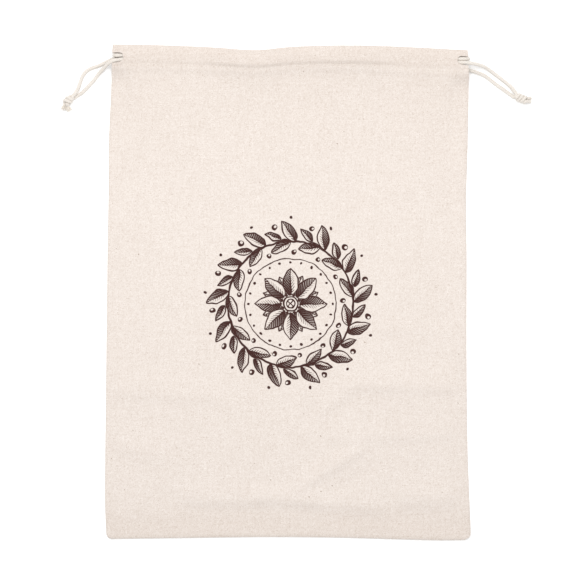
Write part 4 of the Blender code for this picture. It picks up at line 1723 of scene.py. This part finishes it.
@dataclass
class BreadBag:
    """The whole bag."""

    outline: Outline
    # length of cloth in each panel, with its seam allowances and its casing, in metres
    flat: tuple[float, float] = (0.305, 0.425)
    stitch_rise: float = 0.36
    stitched: tuple[float, float] = (-135.0, 138.0)
    free_x: float = 137.0

    def cords(self) -> list[Drawcord]:
        """List the two drawcords, with the routes of their solids.

        Returns:
            The left and the right cord.
        """
        lift = CROSSING_LIFT
        left = Drawcord(
            name="left_cord",
            home=Side.LEFT,
            first_layer=Layer.BACK,
            turn_x=140.4,
            first_strand=(
                (-167.3, 153.6, 4.7), (-164.6, 157.2, 3.7), (-163.2, 160.8, 2.1), (-161.8, 164.7, 1.6),
                (-160.4, 168.6, 1.6), (-158.1, 171.8, 1.6), (-154.8, 174.4, 1.6), (-150.3, 176.0, 1.6),
                (-145.9, 177.7, 1.7), (-141.4, 179.9, 2.1), (-136.6, 181.9, 2.6),
            ),
            first_run=(
                (-130.0, 11.5, 0.0), (-50.0, 11.2, 0.0), (5.0, 11.0, 0.0), (28.0, 10.3, 2.3), (45.0, 9.0, lift),
                (62.0, 7.7, 2.3), (85.0, 7.1, 0.0), (115.0, 6.8, 0.0), (134.0, 6.8, 0.0),
            ),
            second_run=(
                (-128.0, 11.5, 0.15), (-122.0, 11.5, 0.0), (-105.0, 11.3, 0.0), (-65.0, 11.0, 0.0),
                (-42.0, 10.3, 2.3), (-25.0, 9.1, lift), (-8.0, 7.8, 2.3), (15.0, 7.3, 0.0), (60.0, 7.2, 0.0),
                (110.0, 6.9, 0.0), (128.5, 6.95, 0.05), (134.0, 6.95, 0.6),
            ),
            second_strand=(
                (-132.3, 180.9, 9.15), (-136.0, 180.3, 9.0), (-140.4, 177.8, 7.5), (-143.7, 174.6, 4.7),
                (-147.0, 171.3, 2.7), (-149.4, 168.2, 1.8), (-152.0, 164.9, 1.6), (-154.8, 161.9, 1.6),
                (-158.1, 158.3, 1.6), (-161.0, 155.6, 1.6), (-163.7, 153.9, 1.6), (-166.6, 152.2, 1.6),
            ),
            outline=self.outline,
        )
        right = Drawcord(
            name="right_cord",
            home=Side.RIGHT,
            first_layer=Layer.FRONT,
            turn_x=-135.2,
            first_strand=(
                (177.5, 155.5, 3.0), (174.6, 159.7, 1.9), (169.8, 164.0, 1.6), (164.7, 167.9, 1.6),
                (159.8, 171.6, 1.9), (154.8, 175.0, 3.5), (149.8, 177.0, 5.9), (143.4, 178.2, 8.2),
                (138.6, 178.8, 9.1),
            ),
            first_run=(
                (-131.0, 8.35, 0.5), (-126.0, 8.3, 0.0), (-105.0, 7.9, 0.0), (-65.0, 7.5, 0.0),
                (-42.0, 7.8, 0.0), (-25.0, 9.1, 0.0), (-8.0, 10.4, 0.0), (15.0, 10.9, 0.0), (60.0, 10.8, 0.0),
                (105.0, 10.5, 0.0), (128.5, 10.2, 0.05), (134.0, 10.05, 0.5),
            ),
            second_run=(
                (-130.0, 8.0, 0.0), (-50.0, 7.6, 0.0), (5.0, 7.5, 0.0), (28.0, 7.8, 0.0), (45.0, 9.0, 0.0),
                (62.0, 10.3, 0.0), (85.0, 10.8, 0.0), (115.0, 11.2, 0.0), (132.0, 12.1, 0.0),
            ),
            second_strand=(
                (140.0, 173.9, 2.7), (144.0, 172.6, 2.4), (148.6, 171.2, 1.9), (154.2, 168.6, 1.6),
                (159.2, 164.7, 1.6), (163.7, 161.3, 1.6), (168.1, 158.3, 1.6), (172.5, 155.0, 1.6),
                (175.6, 152.9, 1.7),
            ),
            outline=self.outline,
        )
        return [left, right]

    def knots(self) -> list[Knot]:
        """List the two knots.

        Returns:
            The left one, with frayed ends, and the right one, with square cut ends.
        """
        left = Knot(
            name="left_knot",
            centre=(-171.3, 149.7, 3.9),
            heading=225.0,
            half_long=2.8,
            coil=2.2,
            thick=2.6,
            turns=1.05,
            start=0.6,
            ends=((-171.4, 144.3, 3.3), (-174.6, 145.4, 2.7)),
            fray=Fray(count=72, reach=3.1, spread=1.35, radius=0.18, narrowing=0.3),
        )
        right = Knot(
            name="right_knot",
            centre=(181.9, 151.3, 3.95),
            heading=-21.0,
            half_long=3.9,
            coil=2.3,
            thick=2.55,
            turns=-1.5,
            start=2.2,
            ends=((189.4, 151.8, 3.5), (189.1, 148.8, 3.2)),
            fray=Fray(count=30, reach=0.5, spread=0.12, radius=0.24, narrowing=0.0),
        )
        return [left, right]

    def declare(self, cord: Drawcord, part: str) -> None:
        """Read the line of one free strand of a cord, turning the start strand round; nothing is done with it.

        Args:
            cord: The cord.
            part: Which of its strands.
        """
        line = cord.lines[part]
        if part == "start":
            line = line[::-1]

    def build_cords(self) -> None:
        """Model the cords and knots, put them on the bag's body and hide the matching parts of model.glb."""
        cotton = CottonFinish("cord_cotton").material()
        fibres = FibreFinish().material()
        for cord, knot in zip(self.cords(), self.knots()):
            hand = "left" if cord.home is Side.LEFT else "right"
            pieces = cord.build()
            tie = knot.build(cord, cotton, fibres)
            for piece in pieces.values():
                piece.data.materials.append(cotton)
                self.record(piece)
                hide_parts(f"drawcord_{hand}")
            self.record(tie)
            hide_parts(f"knot_{hand}")
            for part in ("start", "end"):
                self.declare(cord, part)

    def stitches(self, panel: ClothPanel, name: str, rise: float) -> bpy.types.Object:
        """Sew a casing.

        Args:
            panel: The panel, already built.
            name: Name of the piece.
            rise: Height of the stitches over the middle of the cloth.

        Returns:
            The row of stitches.
        """
        line = panel.stitch_line
        first_x, last_x = self.stitched
        return Stitching().row(name, line[(line[:, 0] > first_x) & (line[:, 0] < last_x)], rise)

    def build_panels(self) -> None:
        """Model the two panels with their stitching, give them their finishes, put them on the bag's body and hide
        the matching parts of model.glb.
        """
        back, front = BackPanel(self.outline), FrontPanel(self.outline)
        plain = LinenFinish("linen_plain").material()
        printed = LinenFinish("linen_printed", printed=WreathPrint()).material()
        thread = CottonFinish("seam_thread", plaits=2, pitch=0.8, strength=0.3).material()
        back_sheet = back.build("back_cloth")
        front_sheet = front.build("front_cloth")
        back_row = self.stitches(back, "back_stitches", -self.stitch_rise)
        front_row = self.stitches(front, "front_stitches", self.stitch_rise)
        for piece, finish in ((back_sheet, plain), (front_sheet, printed), (back_row, thread), (front_row, thread)):
            piece.data.materials.clear()
            piece.data.materials.append(finish)
            self.record(piece)
        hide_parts("back_panel")
        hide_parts("front_panel")

    def record(self, piece: bpy.types.Object) -> None:
        """Put a piece on the bag's body and log its number of faces.

        Args:
            piece: The piece.
        """
        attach(piece, "root")
        LOG.info("%s: %d faces", piece.name, len(piece.data.polygons))


def main() -> None:
    """Build the studio, the cords and the cloth."""
    logging.basicConfig(level=logging.INFO, format="%(message)s")
    Studio().build()
    bag = BreadBag(Outline())
    bag.build_cords()
    bag.build_panels()


if __name__ == "__main__":
    main()
